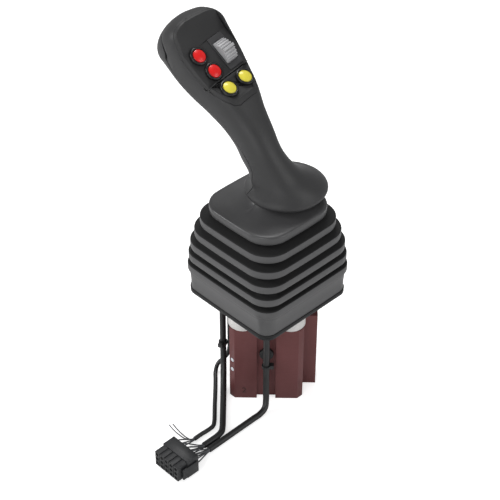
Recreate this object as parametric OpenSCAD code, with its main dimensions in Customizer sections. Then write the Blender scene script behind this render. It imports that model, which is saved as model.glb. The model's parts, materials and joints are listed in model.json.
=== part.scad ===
// Hydraulic pilot-control joystick: four-lobe valve block, plungers, universal joint,
// bellows boot and a lofted grip with thumb wheel, four buttons and an enable paddle.
// +Z up, -Y towards the operator, +X to the operator's right. Millimetres.

/* [Valve block] */
// Height of the valve block
block_h = 79; // [70:1:86]
// Half width across the flats of the lobes
block_half = 31.8; // [31:0.2:36]
// Width of the grooves between the lobes
groove_w = 16.2; // [13:0.2:18]
// Depth of the grooves
groove_d = 4; // [2:0.5:5]
// Corner cut of each lobe
lobe_cut = 4.5; // [2:0.5:6]
// Reach of the pressure gallery from the axis
gallery_reach = 43.5; // [38:0.5:48]
// Width of the pressure gallery
gallery_w = 23.6; // [20:0.2:28]
// Radius of the hydraulic port threads
port_r = 6.6; // [5:0.1:7.5]
// Depth of the hydraulic ports
port_depth = 14; // [10:0.5:18]

/* [Plungers] */
// Distance of each plunger from the joystick's axis
plunger_pitch = 28.6; // [27.6:0.2:29.6]
// Radius of a plunger
plunger_r = 5; // [4:0.1:5.4]
// Outer radius of a plunger guide
guide_r = 12.7; // [11.5:0.1:13.4]
// Height of a plunger guide above the block
guide_h = 19.2; // [17:0.2:24]
// Radius of a plunger's domed tip
tip_r = 3; // [2:0.1:3.6]
// Gap between plunger tip and actuator plate at rest
tip_gap = 0.9; // [0.8:0.1:1.2]
// Radial running clearance of every sliding or turning fit
run_clear = 0.05; // [0.02:0.01:0.09]

/* [Flange] */
// Width of the square mounting flange
flange_w = 98; // [94:1:106]
// Thickness of the mounting flange
flange_t = 2.4; // [2:0.2:4]
// Corner radius of the flange
flange_corner = 10; // [6:0.5:14]
// Spacing of the four mounting holes
mount_pitch = 80; // [76:1:82]
// Radius of a mounting hole
mount_hole_r = 3.25; // [2.5:0.05:3.5]
// Height of the tilt axes above the flange
pivot_rise = 11.2; // [11:0.2:14]

/* [Boot] */
// Half width of the boot's skirt at its foot
skirt_half = 48; // [46:0.5:48.5]
// Half width of the boot's widest pleat
pleat_half = 51.8; // [50:0.2:54]
// Height of the boot from its foot to its top rim
boot_h = 91; // [88:1:96]
// Half width of the boot's top rim
rim_half = 40.5; // [39:0.2:43]
// Depth of the valleys between pleats
valley = 6; // [4:0.5:7]
// Wall thickness of the boot
boot_wall = 2; // [1.5:0.1:3]

/* [Grip] */
// Wall thickness of the grip shells
grip_wall = 2.6; // [2:0.1:3.2]
// Half width of the grip's head
head_half = 29; // [28:0.2:30.4]
// Half width of the grip's waist
waist_half = 15.5; // [14:0.2:17]
// Radius of a push button's cap
button_r = 5.5; // [4.8:0.1:6]
// Radius of a push button's bezel
bezel_r = 7.7; // [7.2:0.1:8.2]
// Travel of a push button
button_travel = 2; // [1:0.1:2.5]
// Radius of the thumb wheel
wheel_r = 11; // [10:0.2:12]
// Width of the thumb wheel
wheel_w = 12; // [10:0.5:13]
// Length of the enable paddle
paddle_len = 66; // [62:1:68]
// Width of the enable paddle at its pivot
paddle_w = 32; // [28:0.5:33]
// Width of the enable paddle at its free end
paddle_tip_w = 21; // [18:0.5:23]

/* [Cables] */
// Radius of the two main cables
cable_r = 2.75; // [2.4:0.05:3]
// Radius of the thin cable
lead_r = 1.9; // [1.5:0.05:2.1]
// Distance between the connector's contacts
contact_pitch = 5.7; // [5.4:0.1:6]

/* [Hidden] */
$fn = 48;

flange_z = block_h + guide_h;
flange_top = flange_z + flange_t;
pivot_z = flange_top + pivot_rise;
boot_foot = flange_top;
skirt_corner = 10;
corner_steps = 7;
pleat_face = 7.8;
pleat_curve = 0.75;
first_pleat = 0.323;
pleat_step = 0.134;
seam_gap = 0.4;
collar_r = 13;
collar_h = 8;

pressure_x = gallery_reach - gallery_w / 2;
port_spacing = 15.5;
neck_r = 15;
guide_shank_r = 8.5;
guide_seat = 16;
seal_r = 8;
seal_h = 3;
plunger_stroke = 9.3;
plunger_drop = 30;
plug_r = 2.25;
plug_len = 7;
plug_heights = [32, 43];

pin_r = 3;
ear_in = 9;
ear_out = 13;
ear_half = 5;
cross_half = 4.5;
yoke_half = 5.5;
yoke_base = 3.6;
yoke_pad_r = 4.4;
yoke_screw_x = 8.5;
yoke_screw_r = 2;
yoke_screw_len = 16;
flange_screw_y = 11.4;
flange_screw_r = 2;
flange_screw_len = 12;
bridge_rise = 11;
bridge_t = 4;
hat_in = 18.5;
hat_wall = 3;
hat_top = 3;
brim_r = 34;
brim_t = 3.5;
brim_lift = 4.5;
hub_r = 8;
hub_h = 14;
nut_h = 6;
rod_thread_r = 5;
rod_r = 6;
rod_top = 222;

part_angle = 38;
rear_square = 2.7;
core_z = 203;
core_r = 9;
core_flange = 3;
upper_face = [-2, 58.2, 301.7];
upper_lean = 50.6;
lower_face = [0.7, 36.7, 287];
lower_lean = 63.4;
rear_face = [-1, 96.4, 288.4];
rear_lean = 63;
head_twist = 8;
panel_half = 27;
panel_t = 3;
well_half = 21;
well_depth = 10.6;
hood_line = 15.5;
step_line = -16.5;
hood_lean = 16;
hood_len = 30;
lower_top = 9;
lower_foot = -15.5;
lower_foot_half = 14;
lower_shift = -2;
lip_w = 2.2;
lip_h = 1.2;
face_reach = 45;
red_places = [[-12.2, 8.3], [-9.8, -8.2]];
yellow_places = [[-9.6, 0], [9.6, 0]];
bezel_tube_r = 6.6;
bezel_h = 2.6;
cap_low = -3.4;
cap_top = 3.6;
stem_len = 4.6;
board_z = -14;
board_t = 1.6;
switch_h = 7.3;
wheel_place = [12.2, 0.2];
wheel_sink = 5.5;
grip_sides = 44;
paddle_pin_r = 1.5;
shell_screw_r = 1.5;
housing_w = 16;
housing_l = 30;
axle_r = 1.8;
wheel_ribs = 26;
bar_rise = 1.4;
paddle_boss_w = 24;
shell_screw_places = [[-1, 104, 300], [0, 27, 245]];

side_tie_z = 44;
main_tie_z = 50;
tie_drop = 4.4;
strap_t = 1.2;
strap_w = 2.6;
tie_base_r = 6;
tie_base_t = 2.4;
level_dir = unit([1, -1, 0]);
gland_wall = 1.65;
gland_z = 86;
connector_x = -122.5;
connector_y = -29.5;
housing_depth = 12;
housing_h = 18.4;
silo_len = 10;
silo_half = 2.5;
contact_r = 1.7;
wire_r = 0.6;
row_pitch = 5.1;
main_route = [[-28, -28, 96], [-28, -28, 84], [-28, -28, 70], [-28, -28, 56], [-28, -28, 44], [-28, -28, 34],
  [-28.5, -28.5, 25], [-29.5, -29.5, 17], [-31.5, -31.5, 10], [-35, -33.8, 5], [-41, -34.8, 2.8],
  [-50, -35, 2.8], [-60, -35, 2.8], [-72, -35, 2.8], [-84, -35, 2.8], [-93, -35, 2.8], [-102, -35, 2.8]];
side_route = [[-29, 25, 96], [-29, 25, 84], [-29, 25, 70], [-29, 25, 56], [-29, 25, 44], [-29, 25, 34],
  [-31, 22.7, 24], [-34.5, 19, 15], [-40, 13.3, 7.5], [-47, 6, 3.5], [-55, -2.3, 2.8], [-63, -10.6, 2.8],
  [-70, -17.8, 2.8], [-75.5, -23.3, 2.8], [-80, -26.9, 2.8], [-86, -28.4, 2.8], [-94, -28.6, 2.8],
  [-102, -28.6, 2.8]];
lead_route = [[-19, 27.4, 96], [-19, 27.4, 84], [-19, 27.4, 70], [-19, 27.4, 56], [-19, 27.4, 44],
  [-19, 27.4, 32], [-19.2, 27.7, 24], [-20.4, 29, 17], [-23.4, 31.4, 11.5], [-27.5, 33.6, 7], [-33, 31, 3.4],
  [-40, 23.8, 2], [-48, 15.4, 2], [-56, 7.2, 2], [-64, -1, 2], [-71, -8.4, 2], [-76, -13.4, 2],
  [-80.5, -16.6, 2], [-86, -17.2, 2], [-94, -16.8, 2], [-102, -16.8, 2]];
cable_exits = [[-28, -28], [-29, 25], [-19, 27.4]];
cable_radii = [cable_r, cable_r, lead_r];

// ---- Shared helpers -------------------------------------------------------

// Turns the valve block's own square to the joystick's axes
module turned() rotate([0, 0, -45]) children();

// Four copies about the vertical axis
module four() for (i = [0:3]) rotate([0, 0, 90 * i]) children();

// Rounded square of half width a and corner radius r, made of exact arcs
module round_square(a, r) {
  square([2 * a, 2 * (a - r)], center = true);
  square([2 * (a - r), 2 * a], center = true);
  for (x = [-1, 1], y = [-1, 1]) translate([x * (a - r), y * (a - r)]) circle(r);
}

// Closed skin over rings of points that all have the same count;
// looped joins the last ring to the first, otherwise both ends are capped
module skin(rings, looped = false) {
  n = len(rings[0]);
  m = len(rings);
  last = looped ? m - 1 : m - 2;
  sides = [for (i = [0:last], j = [0:n - 1])
    let (a = i * n + j, b = i * n + (j + 1) % n, k = ((i + 1) % m) * n, c = k + (j + 1) % n)
    each [[a, k + j, c], [a, c, b]]];
  caps = looped ? [] : [[for (j = [0:n - 1]) j], [for (j = [n - 1:-1:0]) (m - 1) * n + j]];
  polyhedron(points = [for (r = rings, p = r) p], faces = concat(sides, caps), convexity = 8);
}

// ---- Valve block ----------------------------------------------------------

// Plan of one lobe, with its outer corner cut
module lobe_plan() {
  inner = groove_w / 2;
  polygon([[inner, inner], [block_half, inner], [block_half, block_half - lobe_cut],
    [block_half - lobe_cut, block_half], [inner, block_half]]);
}

// Plan of the whole block: four lobes, the core between them and the gallery
module block_plan() {
  core = block_half - groove_d;
  four() lobe_plan();
  square(2 * core, center = true);
  translate([0, -gallery_w / 2]) square([gallery_reach, gallery_w]);
}

module valve_block() color("#5f3838") {
  spool_r = plunger_r - 1;
  difference() {
    union() {
      turned() linear_extrude(block_h) block_plan();
      cylinder(r = neck_r, h = flange_z);
    }
    four() translate([plunger_pitch, 0, 0]) {
      translate([0, 0, -1]) cylinder(r = port_r, h = port_depth + 1);
      translate([0, 0, port_depth - 1]) cylinder(r = spool_r, h = block_h);
      translate([0, 0, block_h - guide_seat]) cylinder(r = guide_shank_r, h = guide_seat + 1);
      translate([0, 0, block_h - plunger_drop]) cylinder(r = plunger_r + run_clear, h = plunger_drop);
    }
    turned() for (x = [pressure_x, pressure_x - port_spacing]) translate([x, 0, -1])
      cylinder(r = port_r, h = port_depth + 1);
    for (y = [-1, 1]) translate([0, y * flange_screw_y, flange_top - flange_screw_len])
      cylinder(r = flange_screw_r, h = block_h);
    turned() for (z = plug_heights) translate([-block_half + lobe_cut / 2, -block_half + lobe_cut / 2, z])
      rotate([0, 90, 45]) translate([0, 0, -1]) cylinder(r = plug_r, h = plug_len + 1);
    four() translate([yoke_screw_x, yoke_screw_x, flange_z - yoke_screw_len + flange_t + yoke_base])
      cylinder(r = yoke_screw_r, h = block_h);
  }
}

// Steel balls pressed into the drillings on the left lobe's cut corner
module ball_plugs() color("#dfe3ea")
  turned() for (z = plug_heights) translate([-block_half + lobe_cut / 2, -block_half + lobe_cut / 2, z])
    rotate([0, 90, 45]) cylinder(r = plug_r, h = plug_len);

module plunger_guides() color("#e4e2e0")
  four() translate([plunger_pitch, 0, 0]) difference() {
    union() {
      translate([0, 0, block_h]) cylinder(r = guide_r, h = guide_h);
      translate([0, 0, block_h - guide_seat]) cylinder(r = guide_shank_r, h = guide_seat);
    }
    translate([0, 0, block_h - guide_seat - 1]) cylinder(r = plunger_r + run_clear, h = guide_h + guide_seat + 2);
    translate([0, 0, flange_z - seal_h]) cylinder(r = seal_r, h = seal_h + 1);
  }

// Wiper rings in the tops of the guides
module wiper_seals() color("#1c1c1c")
  four() translate([plunger_pitch, 0, flange_z - seal_h]) difference() {
    cylinder(r = seal_r, h = seal_h);
    translate([0, 0, -1]) cylinder(r = plunger_r + 2 * run_clear, h = seal_h + 2);
  }

// One plunger with its domed tip, standing at rest
module plunger(turn) color("#b9bcc0") {
  tip_z = pivot_z + brim_lift - tip_gap;
  rotate([0, 0, turn]) translate([plunger_pitch, 0, 0]) {
    translate([0, 0, block_h - plunger_drop + plunger_stroke + 1])
      cylinder(r = plunger_r, h = tip_z - 2 * tip_r - block_h + plunger_drop - plunger_stroke);
    translate([0, 0, tip_z - 2 * tip_r]) cylinder(r = tip_r, h = tip_r);
    translate([0, 0, tip_z - tip_r]) sphere(tip_r);
  }
}

module plunger_1() plunger(0);
module plunger_2() plunger(-90);
module plunger_3() plunger(180);
module plunger_4() plunger(90);

// ---- Flange and universal joint ------------------------------------------

module flange_plate() color("#26282a") difference() {
  translate([0, 0, flange_z]) linear_extrude(flange_t) difference() {
    round_square(flange_w / 2, flange_corner);
    for (x = [-1, 1], y = [-1, 1]) translate([x, y] * mount_pitch / 2) circle(mount_hole_r);
    four() translate([plunger_pitch, 0]) circle(plunger_r + 1);
    four() translate([yoke_screw_x, yoke_screw_x]) circle(yoke_screw_r + 0.2);
    for (i = [0:2]) translate(cable_exits[i]) circle(cable_radii[i] + gland_wall);
  }
  for (y = [-1, 1]) translate([0, y * flange_screw_y, flange_top]) {
    translate([0, 0, -flange_screw_r]) cylinder(r1 = flange_screw_r, r2 = 2 * flange_screw_r, h = flange_screw_r);
    translate([0, 0, -flange_t - 1]) cylinder(r = flange_screw_r, h = flange_t);
  }
}

// Socket screw: head on top of z = 0, shank below, with a hexagon socket
module socket_screw(r, len) {
  difference() {
    cylinder(r = 1.75 * r, h = 1.6 * r);
    translate([0, 0, 0.8 * r]) cylinder(r = 0.95 * r, h = r, $fn = 6);
  }
  translate([0, 0, -len]) cylinder(r = r, h = len);
}

// Countersunk screw, its head flush with z = 0
module flat_screw(r, len) {
  difference() {
    translate([0, 0, -r]) cylinder(r1 = r, r2 = 2 * r, h = r);
    translate([0, 0, -0.6 * r]) cylinder(r = 0.9 * r, h = r, $fn = 6);
  }
  translate([0, 0, -len]) cylinder(r = r, h = len - r);
}

module flange_screws() color("#8d9093")
  for (y = [-1, 1]) translate([0, y * flange_screw_y, flange_top]) flat_screw(flange_screw_r, flange_screw_len);

// Root half of the universal joint: two ears that hold the cross along X
module lower_yoke() color("#6e7175") difference() {
  union() {
    translate([-ear_out, -yoke_half, flange_top]) cube([2 * ear_out, 2 * yoke_half, yoke_base]);
    four() translate([yoke_screw_x, yoke_screw_x, flange_top]) cylinder(r = yoke_pad_r, h = yoke_base);
    for (s = [-1, 1]) translate([s > 0 ? ear_in : -ear_out, -ear_half, flange_top])
      cube([ear_out - ear_in, 2 * ear_half, pivot_rise]);
    for (s = [-1, 1]) translate([s > 0 ? ear_in : -ear_out, 0, pivot_z]) rotate([0, 90, 0])
      cylinder(r = ear_half, h = ear_out - ear_in);
  }
  translate([-ear_out - 1, 0, pivot_z]) rotate([0, 90, 0]) cylinder(r = pin_r + run_clear, h = 2 * ear_out + 2);
  four() translate([yoke_screw_x, yoke_screw_x, flange_top - 1])
    cylinder(r = yoke_screw_r + 0.2, h = yoke_base + 2);
}

module yoke_screws() color("#8d9093")
  four() translate([yoke_screw_x, yoke_screw_x, flange_top + yoke_base])
    socket_screw(yoke_screw_r, yoke_screw_len);

module joint_cross() color("#a9acb0") {
  translate([0, 0, pivot_z]) {
    cube(2 * cross_half, center = true);
    rotate([0, 90, 0]) cylinder(r = pin_r, h = 2 * ear_out, center = true);
    rotate([90, 0, 0]) cylinder(r = pin_r, h = 2 * ear_out, center = true);
  }
}

// Lever half of the universal joint: two hanging ears, a bridge and a threaded hub
module upper_yoke() color("#74777b") difference() {
  union() {
    for (s = [-1, 1]) translate([-ear_half, s > 0 ? ear_in : -ear_out, pivot_z])
      cube([2 * ear_half, ear_out - ear_in, bridge_rise]);
    for (s = [-1, 1]) translate([0, s > 0 ? ear_out : -ear_in, pivot_z]) rotate([90, 0, 0])
      cylinder(r = ear_half, h = ear_out - ear_in);
    translate([-ear_half, -ear_out, pivot_z + bridge_rise - bridge_t])
      cube([2 * ear_half, 2 * ear_out, bridge_t]);
    translate([0, 0, pivot_z + bridge_rise]) cylinder(r = hub_r, h = hub_h);
  }
  translate([0, ear_out + 1, pivot_z]) rotate([90, 0, 0]) cylinder(r = pin_r + run_clear, h = 2 * ear_out + 2);
  translate([0, 0, pivot_z + bridge_rise]) cylinder(r = rod_thread_r, h = hub_h + 1);
}

// Hat-shaped plate whose brim presses the plungers
module actuator_plate() color("#8a8d91")
  translate([0, 0, pivot_z]) rotate_extrude() polygon([
    [hat_in, brim_lift], [brim_r, brim_lift], [brim_r, brim_lift + brim_t],
    [hat_in + hat_wall, brim_lift + brim_t + 2],
    [hat_in + hat_wall, bridge_rise + hat_top], [hub_r, bridge_rise + hat_top],
    [hub_r, bridge_rise], [hat_in, bridge_rise]]);

module plate_nut() color("#9a9da1") translate([0, 0, pivot_z + bridge_rise + hat_top]) difference() {
  cylinder(r = hub_r + 6, h = nut_h, $fn = 6);
  translate([0, 0, -1]) cylinder(r = hub_r, h = nut_h + 2);
}

module lever_rod() color("#a4a7ab") {
  foot = pivot_z + bridge_rise;
  translate([0, 0, foot]) cylinder(r = rod_thread_r, h = hub_h);
  translate([0, 0, foot + hub_h]) cylinder(r = rod_r, h = rod_top - foot - hub_h);
}

// ---- Boot -----------------------------------------------------------------

// Ring of a rounded square, half width a, corner radius r, at height z
function square_ring(a, r, z) = [for (c = [0:3], i = [0:corner_steps])
  let (t = 90 * c + 90 * i / corner_steps, sx = (c == 0 || c == 3) ? 1 : -1, sy = c < 2 ? 1 : -1)
  [sx * (a - r) + r * cos(t), sy * (a - r) + r * sin(t), z]];

// Half width of pleat i; pleat 0 tops the skirt and pleat 5 is the rim
function pleat_a(i) = i > 4 ? rim_half : pleat_half - pleat_curve * pow(max(0, i - 1.2), 2);
// Height of the top edge of pleat i above the boot's foot
function pleat_z(i) = boot_h * (first_pleat + pleat_step * i);
function pleat_r(i) = min(skirt_corner + 5 + 2.5 * i, 22);

// Outline points [half width, height, corner radius] of pleat i, from its lower valley to its upper one
function pleat_profile(i) = [
  [pleat_a(i) - valley, pleat_z(i) - pleat_face - 1.5, pleat_r(i) - valley / 2],
  [pleat_a(i), pleat_z(i) - pleat_face, pleat_r(i)],
  [pleat_a(i), pleat_z(i), pleat_r(i)],
  [pleat_a(i) - valley, pleat_z(i) + 1.5, pleat_r(i) - valley / 2]];

// Rubber wall between an outline and the same outline moved in by the wall
module boot_wall_of(profile) {
  outer = [for (p = profile) square_ring(p[0], p[2], boot_foot + p[1])];
  inner = [for (k = [len(profile) - 1:-1:0]) let (p = profile[k])
    square_ring(p[0] - boot_wall, p[2] - boot_wall, boot_foot + p[1])];
  skin(concat(outer, inner), looped = true);
}

module boot_skirt() color("#4b4b4c") boot_wall_of([
  [skirt_half, 0, skirt_corner], [skirt_half + 0.6, 10, skirt_corner],
  [skirt_half + 1.6, pleat_z(0) - pleat_face - 4, skirt_corner + 2],
  [pleat_a(0), pleat_z(0) - pleat_face, pleat_r(0)], [pleat_a(0), pleat_z(0), pleat_r(0)]]);

module boot_lower_bellows() color("#4b4b4c") boot_wall_of(concat(
  [[pleat_a(0), pleat_z(0), pleat_r(0)], [pleat_a(0) - valley, pleat_z(0) + 1.5, pleat_r(0) - valley / 2]],
  pleat_profile(1)));

module boot_upper_bellows() color("#4b4b4c") boot_wall_of(concat(
  [[pleat_a(1) - valley, pleat_z(1) + 1.5 + seam_gap, pleat_r(1) - valley / 2]],
  pleat_profile(2), pleat_profile(3), pleat_profile(4)));

// Rim and dished top of the boot, up to the neck that grips the collar
module boot_top() color("#5a5a5b") {
  rim_z = pleat_z(5) - pleat_face;
  top = pleat_z(5);
  outer = [[rim_half - valley, rim_z - 1.2], [rim_half, rim_z], [rim_half, top - 1.5], [rim_half - 1.5, top],
    [rim_half - 8, top - 0.5], [rim_half - 18, top + 0.5], [collar_r + 1, top + 3.5]];
  inner = [[collar_r, top + 1], [rim_half - 18, top - 2], [rim_half - 8, top - 3],
    [rim_half - 3, top - 4], [rim_half - 3, rim_z + 2], [rim_half - valley - 2, rim_z + 0.8]];
  skin([for (p = concat(outer, inner)) square_ring(p[0], min(p[0] - 0.5, pleat_r(5)), boot_foot + p[1])],
    looped = true);
}

module boot_collar() color("#3a3a3b") translate([0, 0, boot_foot + pleat_z(5) - 6]) difference() {
  cylinder(r = collar_r - 0.6, h = collar_h);
  translate([0, 0, -1]) cylinder(r = rod_r, h = collar_h + 2);
}

// ---- Grip -----------------------------------------------------------------

// Stations of the grip: [x, y, z, lean from vertical, half width, depth to front, depth to rear, squareness]
stations = [
  [17, -4, 197.5, 0, 33, 32, 33, 2],
  [17, -4, 200.5, 0, 34.5, 33.5, 34.5, 2],
  [16, -4, 204.5, 2, 31.5, 31.5, 31, 2],
  [12, -4, 210, 5, 26, 27, 25, 2],
  [7, -1, 216.5, 10, 21, 22, 20, 2],
  [3, 3, 225, 18, 17, 19, 16.5, 2.1],
  [0, 9, 235, 27, waist_half, 18, 15, 2.2],
  [0, 17, 247, 37, 16, 17, 15, 2.3],
  [0, 28, 259, 44, 18, 17, 15.5, 2.5],
  [0, 41, 270, 48, 22, 20, 15.5, 2.8],
  [-0.5, 55, 278.5, 51, head_half - 3.5, 21.5, 14.5, 3.4],
  [-0.5, 69, 287.5, 51, head_half - 0.5, 22, 13.5, 4],
  [-0.5, 84, 299, 51, head_half, 24, 15.5, 4.4],
  [-0.5, 91.5, 304.8, 51, head_half - 0.5, 27, 17.5, 4.2],
  [0.5, 97, 309.1, 51, head_half - 2.5, 25, 15, 3.6],
  [2.5, 101.2, 312.4, 51, head_half - 6, 19.5, 10.5, 3.2],
  [5.5, 104.8, 315.2, 51, head_half - 12, 13, 6, 2.8],
  [7.5, 106.8, 316.8, 51, head_half - 20, 6, 3.5, 2.4],
  [8, 107.4, 317.3, 51, 3.4, 3.2, 3.2, 2],
];

function lobe_power(v, k) = sign(v) * pow(abs(v), 2 / k);

// Point at angle t of station s, moved in by wall; t = 270 faces the operator
function grip_point(s, t, wall) =
  let (k = sin(t) < 0 ? s[7] : min(s[7], rear_square),
       u = (s[4] - wall) * lobe_power(cos(t), k),
       f = sin(t) < 0 ? (s[5] - wall) * lobe_power(-sin(t), k) : -(s[6] - wall) * lobe_power(sin(t), k))
  [s[0] + u, s[1] - f * cos(s[3]), s[2] + f * sin(s[3])];

// Open wall of the grip from angle a to angle b, over stations i to j
module grip_wall_of(a, b, i, j, steps) {
  ts = [for (k = [0:steps]) a + (b - a) * k / steps];
  skin([for (s = [i:j]) concat(
    [for (t = ts) grip_point(stations[s], t, 0)],
    [for (k = [steps:-1:0]) grip_point(stations[s], ts[k], grip_wall)])]);
}

// Steel tube that sits on the lever rod and carries the shells
module grip_core() color("#2b2b2c") translate([0, 0, core_z]) difference() {
  union() {
    cylinder(r = core_r, h = rod_top - core_z);
    cylinder(r = core_r + 3, h = core_flange);
  }
  translate([0, 0, -1]) cylinder(r = rod_r, h = rod_top);
}

// Puts children on the upper button face: x across, y up the face, z out of it
module on_upper_face() translate(upper_face) rotate([90 - upper_lean, 0, 0]) rotate([0, 0, head_twist]) children();
// The same for the lower, flatter face
module on_lower_face() translate(lower_face) rotate([90 - lower_lean, 0, 0]) rotate([0, 0, head_twist]) children();
// Puts children on the grip's rear: x across, y down towards the waist, z out
module on_rear() translate(rear_face) rotate([-90 - rear_lean, 0, 0]) children();

// Profile of the button face and the hood beyond it, from depth low up to height high: [along, out]
function face_profile(low, high) = [[step_line, low], [hood_line, low],
  [hood_line + hood_len * cos(hood_lean), low + hood_len * sin(hood_lean)],
  [hood_line + hood_len * cos(hood_lean), high + hood_len * sin(hood_lean)], [hood_line, high], [step_line, high]];

// Slab across the upper face between two depths, from u = -half to u = +half
module face_slab(low, high, half) on_upper_face() rotate([90, 0, 90])
  translate([0, 0, -half]) linear_extrude(2 * half) polygon(face_profile(low, high));

// Plan of the lower button face, narrower towards the waist, moved in by gap
module lower_panel_plan(gap) polygon([[-panel_half + gap, lower_top - gap], [panel_half - gap, lower_top - gap],
  [lower_shift + lower_foot_half - gap, lower_foot + 3 + gap],
  [lower_shift + lower_foot_half - 4, lower_foot + gap],
  [lower_shift - lower_foot_half + 4, lower_foot + gap],
  [lower_shift - lower_foot_half + gap, lower_foot + 3 + gap]]);

// Grip as one closed solid, its skin moved in by wall
module grip_solid(wall) skin([for (s = stations) [for (k = [0:grip_sides - 1])
  grip_point(s, 360 * k / grip_sides, wall)]]);

module front_shell() color("#393939") difference() {
  grip_wall_of(180 - part_angle, 360 + part_angle, 0, len(stations) - 1, 26);
  face_slab(-panel_t, face_reach, panel_half);
  on_lower_face() translate([0, 0, -panel_t]) linear_extrude(face_reach) lower_panel_plan(0);
  on_upper_face() translate([-well_half, step_line + 0.1, -well_depth])
    cube([2 * well_half, -2 * step_line, face_reach]);
  on_lower_face() translate([-yellow_places[1][0] - bezel_r - 0.6, -bezel_r - 0.6, -well_depth])
    cube([2 * (yellow_places[1][0] + bezel_r + 0.6), 2 * bezel_r + 1.2, face_reach]);
}

module rear_shell() color("#343434") difference() {
  grip_wall_of(part_angle + 0.6, 180 - part_angle - 0.6, 0, len(stations) - 1, 12);
  on_rear() translate([0, 0, -14]) linear_extrude(30) paddle_plan(0.6);
  on_rear() translate([-paddle_w, 4, -4]) rotate([0, 90, 0]) cylinder(r = paddle_pin_r + 0.02, h = 2 * paddle_w);
  for (p = shell_screw_places) on_shell_screw(p) {
    cylinder(r = 1.75 * shell_screw_r + 0.2, h = 12);
    translate([0, 0, -20]) cylinder(r = shell_screw_r + 0.1, h = 24);
  }
}

// Puts children at a shell screw, its head seat at z = 0
module on_shell_screw(place) translate(place) rotate([-90 - rear_lean, 0, 0]) translate([0, 0, -2]) children();

module shell_screws() color("#8d9093")
  for (p = shell_screw_places) on_shell_screw(p) socket_screw(shell_screw_r, 12);

// Button face with the hood that rises beyond it; its rim follows the grip's own surface
module upper_panel() color("#2f2f30") difference() {
  intersection() {
    grip_solid(0);
    face_slab(-panel_t, 0, panel_half - 0.1);
  }
  on_upper_face() {
    for (p = red_places) translate([p[0], p[1], -10]) cylinder(r = bezel_tube_r + 0.03, h = 20);
    translate([wheel_place[0], wheel_place[1], -10]) linear_extrude(20)
      square([housing_w, housing_l], center = true);
  }
}

// Lower button face with a raised lip round its foot
module lower_panel() color("#303031") intersection() {
  grip_solid(0);
  difference() {
    on_lower_face() difference() {
      translate([0, 0, -panel_t]) {
        linear_extrude(panel_t) lower_panel_plan(0.1);
        linear_extrude(panel_t + lip_h) difference() {
          lower_panel_plan(0.1);
          translate([0, lip_w]) lower_panel_plan(lip_w);
        }
      }
      for (p = yellow_places) {
        translate([p[0], p[1], -10]) cylinder(r = bezel_tube_r, h = 20);
        translate(p) cylinder(r = bezel_r + 0.2, h = 10);
      }
    }
    face_slab(-panel_t - 8, face_reach, panel_half + 5);
  }
}

// Ring bezel with a tube that passes through the panel
module bezel() difference() {
  union() {
    cylinder(r = bezel_r, h = bezel_h - 0.6);
    cylinder(r = bezel_r - 0.6, h = bezel_h);
    translate([0, 0, -panel_t - 3]) cylinder(r = bezel_tube_r, h = panel_t + 3);
  }
  translate([0, 0, -10]) cylinder(r = button_r + 0.3, h = 20);
}

module button_bezels() color("#1b1b1c") {
  on_upper_face() for (p = red_places) translate(p) bezel();
  on_lower_face() for (p = yellow_places) translate(p) bezel();
}

// Domed cap on a stem; the dome is a slice of a large sphere
module button_cap() {
  dome_r = 11;
  translate([0, 0, cap_low]) intersection() {
    cylinder(r = button_r, h = cap_top - cap_low);
    translate([0, 0, cap_top - cap_low - dome_r]) sphere(dome_r);
  }
  translate([0, 0, cap_low - stem_len]) cylinder(r = 2, h = stem_len);
}

module button_red_upper() color("#e8201c") on_upper_face() translate(red_places[0]) button_cap();
module button_red_lower() color("#e8201c") on_upper_face() translate(red_places[1]) button_cap();
module button_yellow_left() color("#f4e64a") on_lower_face() translate(yellow_places[0]) button_cap();
module button_yellow_right() color("#f4e64a") on_lower_face() translate(yellow_places[1]) button_cap();

// Microswitch under each button
module switch_body() difference() {
  translate([-5, -5, board_z]) cube([10, 10, switch_h]);
  translate([0, 0, board_z + switch_h - 2 - button_travel]) cylinder(r = 2.3, h = 10);
}

module switch_modules() color("#222831") {
  on_upper_face() for (p = red_places) translate(p) switch_body();
  on_lower_face() for (p = yellow_places) translate(p) switch_body();
}

module circuit_board() color("#1f5a38") {
  on_upper_face() translate([-18.5, -14, board_z - board_t]) cube([16, 30, board_t]);
  on_lower_face() translate([-17, -7, board_z - board_t]) cube([34, 13, board_t]);
}

module wheel_housing() color("#3a3b3c") on_upper_face() translate(wheel_place) difference() {
  translate([-housing_w / 2, -housing_l / 2, -wheel_sink - 4]) cube([housing_w, housing_l, wheel_sink + 4.4]);
  translate([-wheel_w / 2 - 0.4, -wheel_r - 2.4, -wheel_sink - 5]) cube([wheel_w + 0.8, 2 * wheel_r + 4.8, 30]);
  translate([-housing_w, 0, -wheel_sink]) rotate([0, 90, 0]) cylinder(r = axle_r + run_clear, h = 2 * housing_w);
}

// Outline of the wheel: low ribs all round and one tall bar at the top
function wheel_outline() = [for (i = [0:wheel_ribs - 1])
  let (a = 180 + 360 * i / wheel_ribs, bar = i == 0, r = bar ? wheel_r + bar_rise : wheel_r, h = bar ? 5.4 : 3.2)
  for (c = [[wheel_r - 1, -h - 1], [r, -h], [r, h], [wheel_r - 1, h + 1]])
    c[0] * [cos(a + c[1]), sin(a + c[1])]];

module thumb_wheel() color("#cbcbcc") on_upper_face() translate(wheel_place) translate([0, 0, -wheel_sink])
  rotate([0, 90, 0]) {
    translate([0, 0, -wheel_w / 2]) linear_extrude(wheel_w) polygon(wheel_outline());
    cylinder(r = axle_r, h = housing_w, center = true);
  }

// Plan of the paddle, wide at its pivot and narrower at its free end
module paddle_plan(gap) polygon([[-paddle_w / 2 - gap, -gap], [paddle_w / 2 + gap, -gap],
  [paddle_tip_w / 2 + gap, paddle_len + gap], [-paddle_tip_w / 2 - gap, paddle_len + gap]]);

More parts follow.
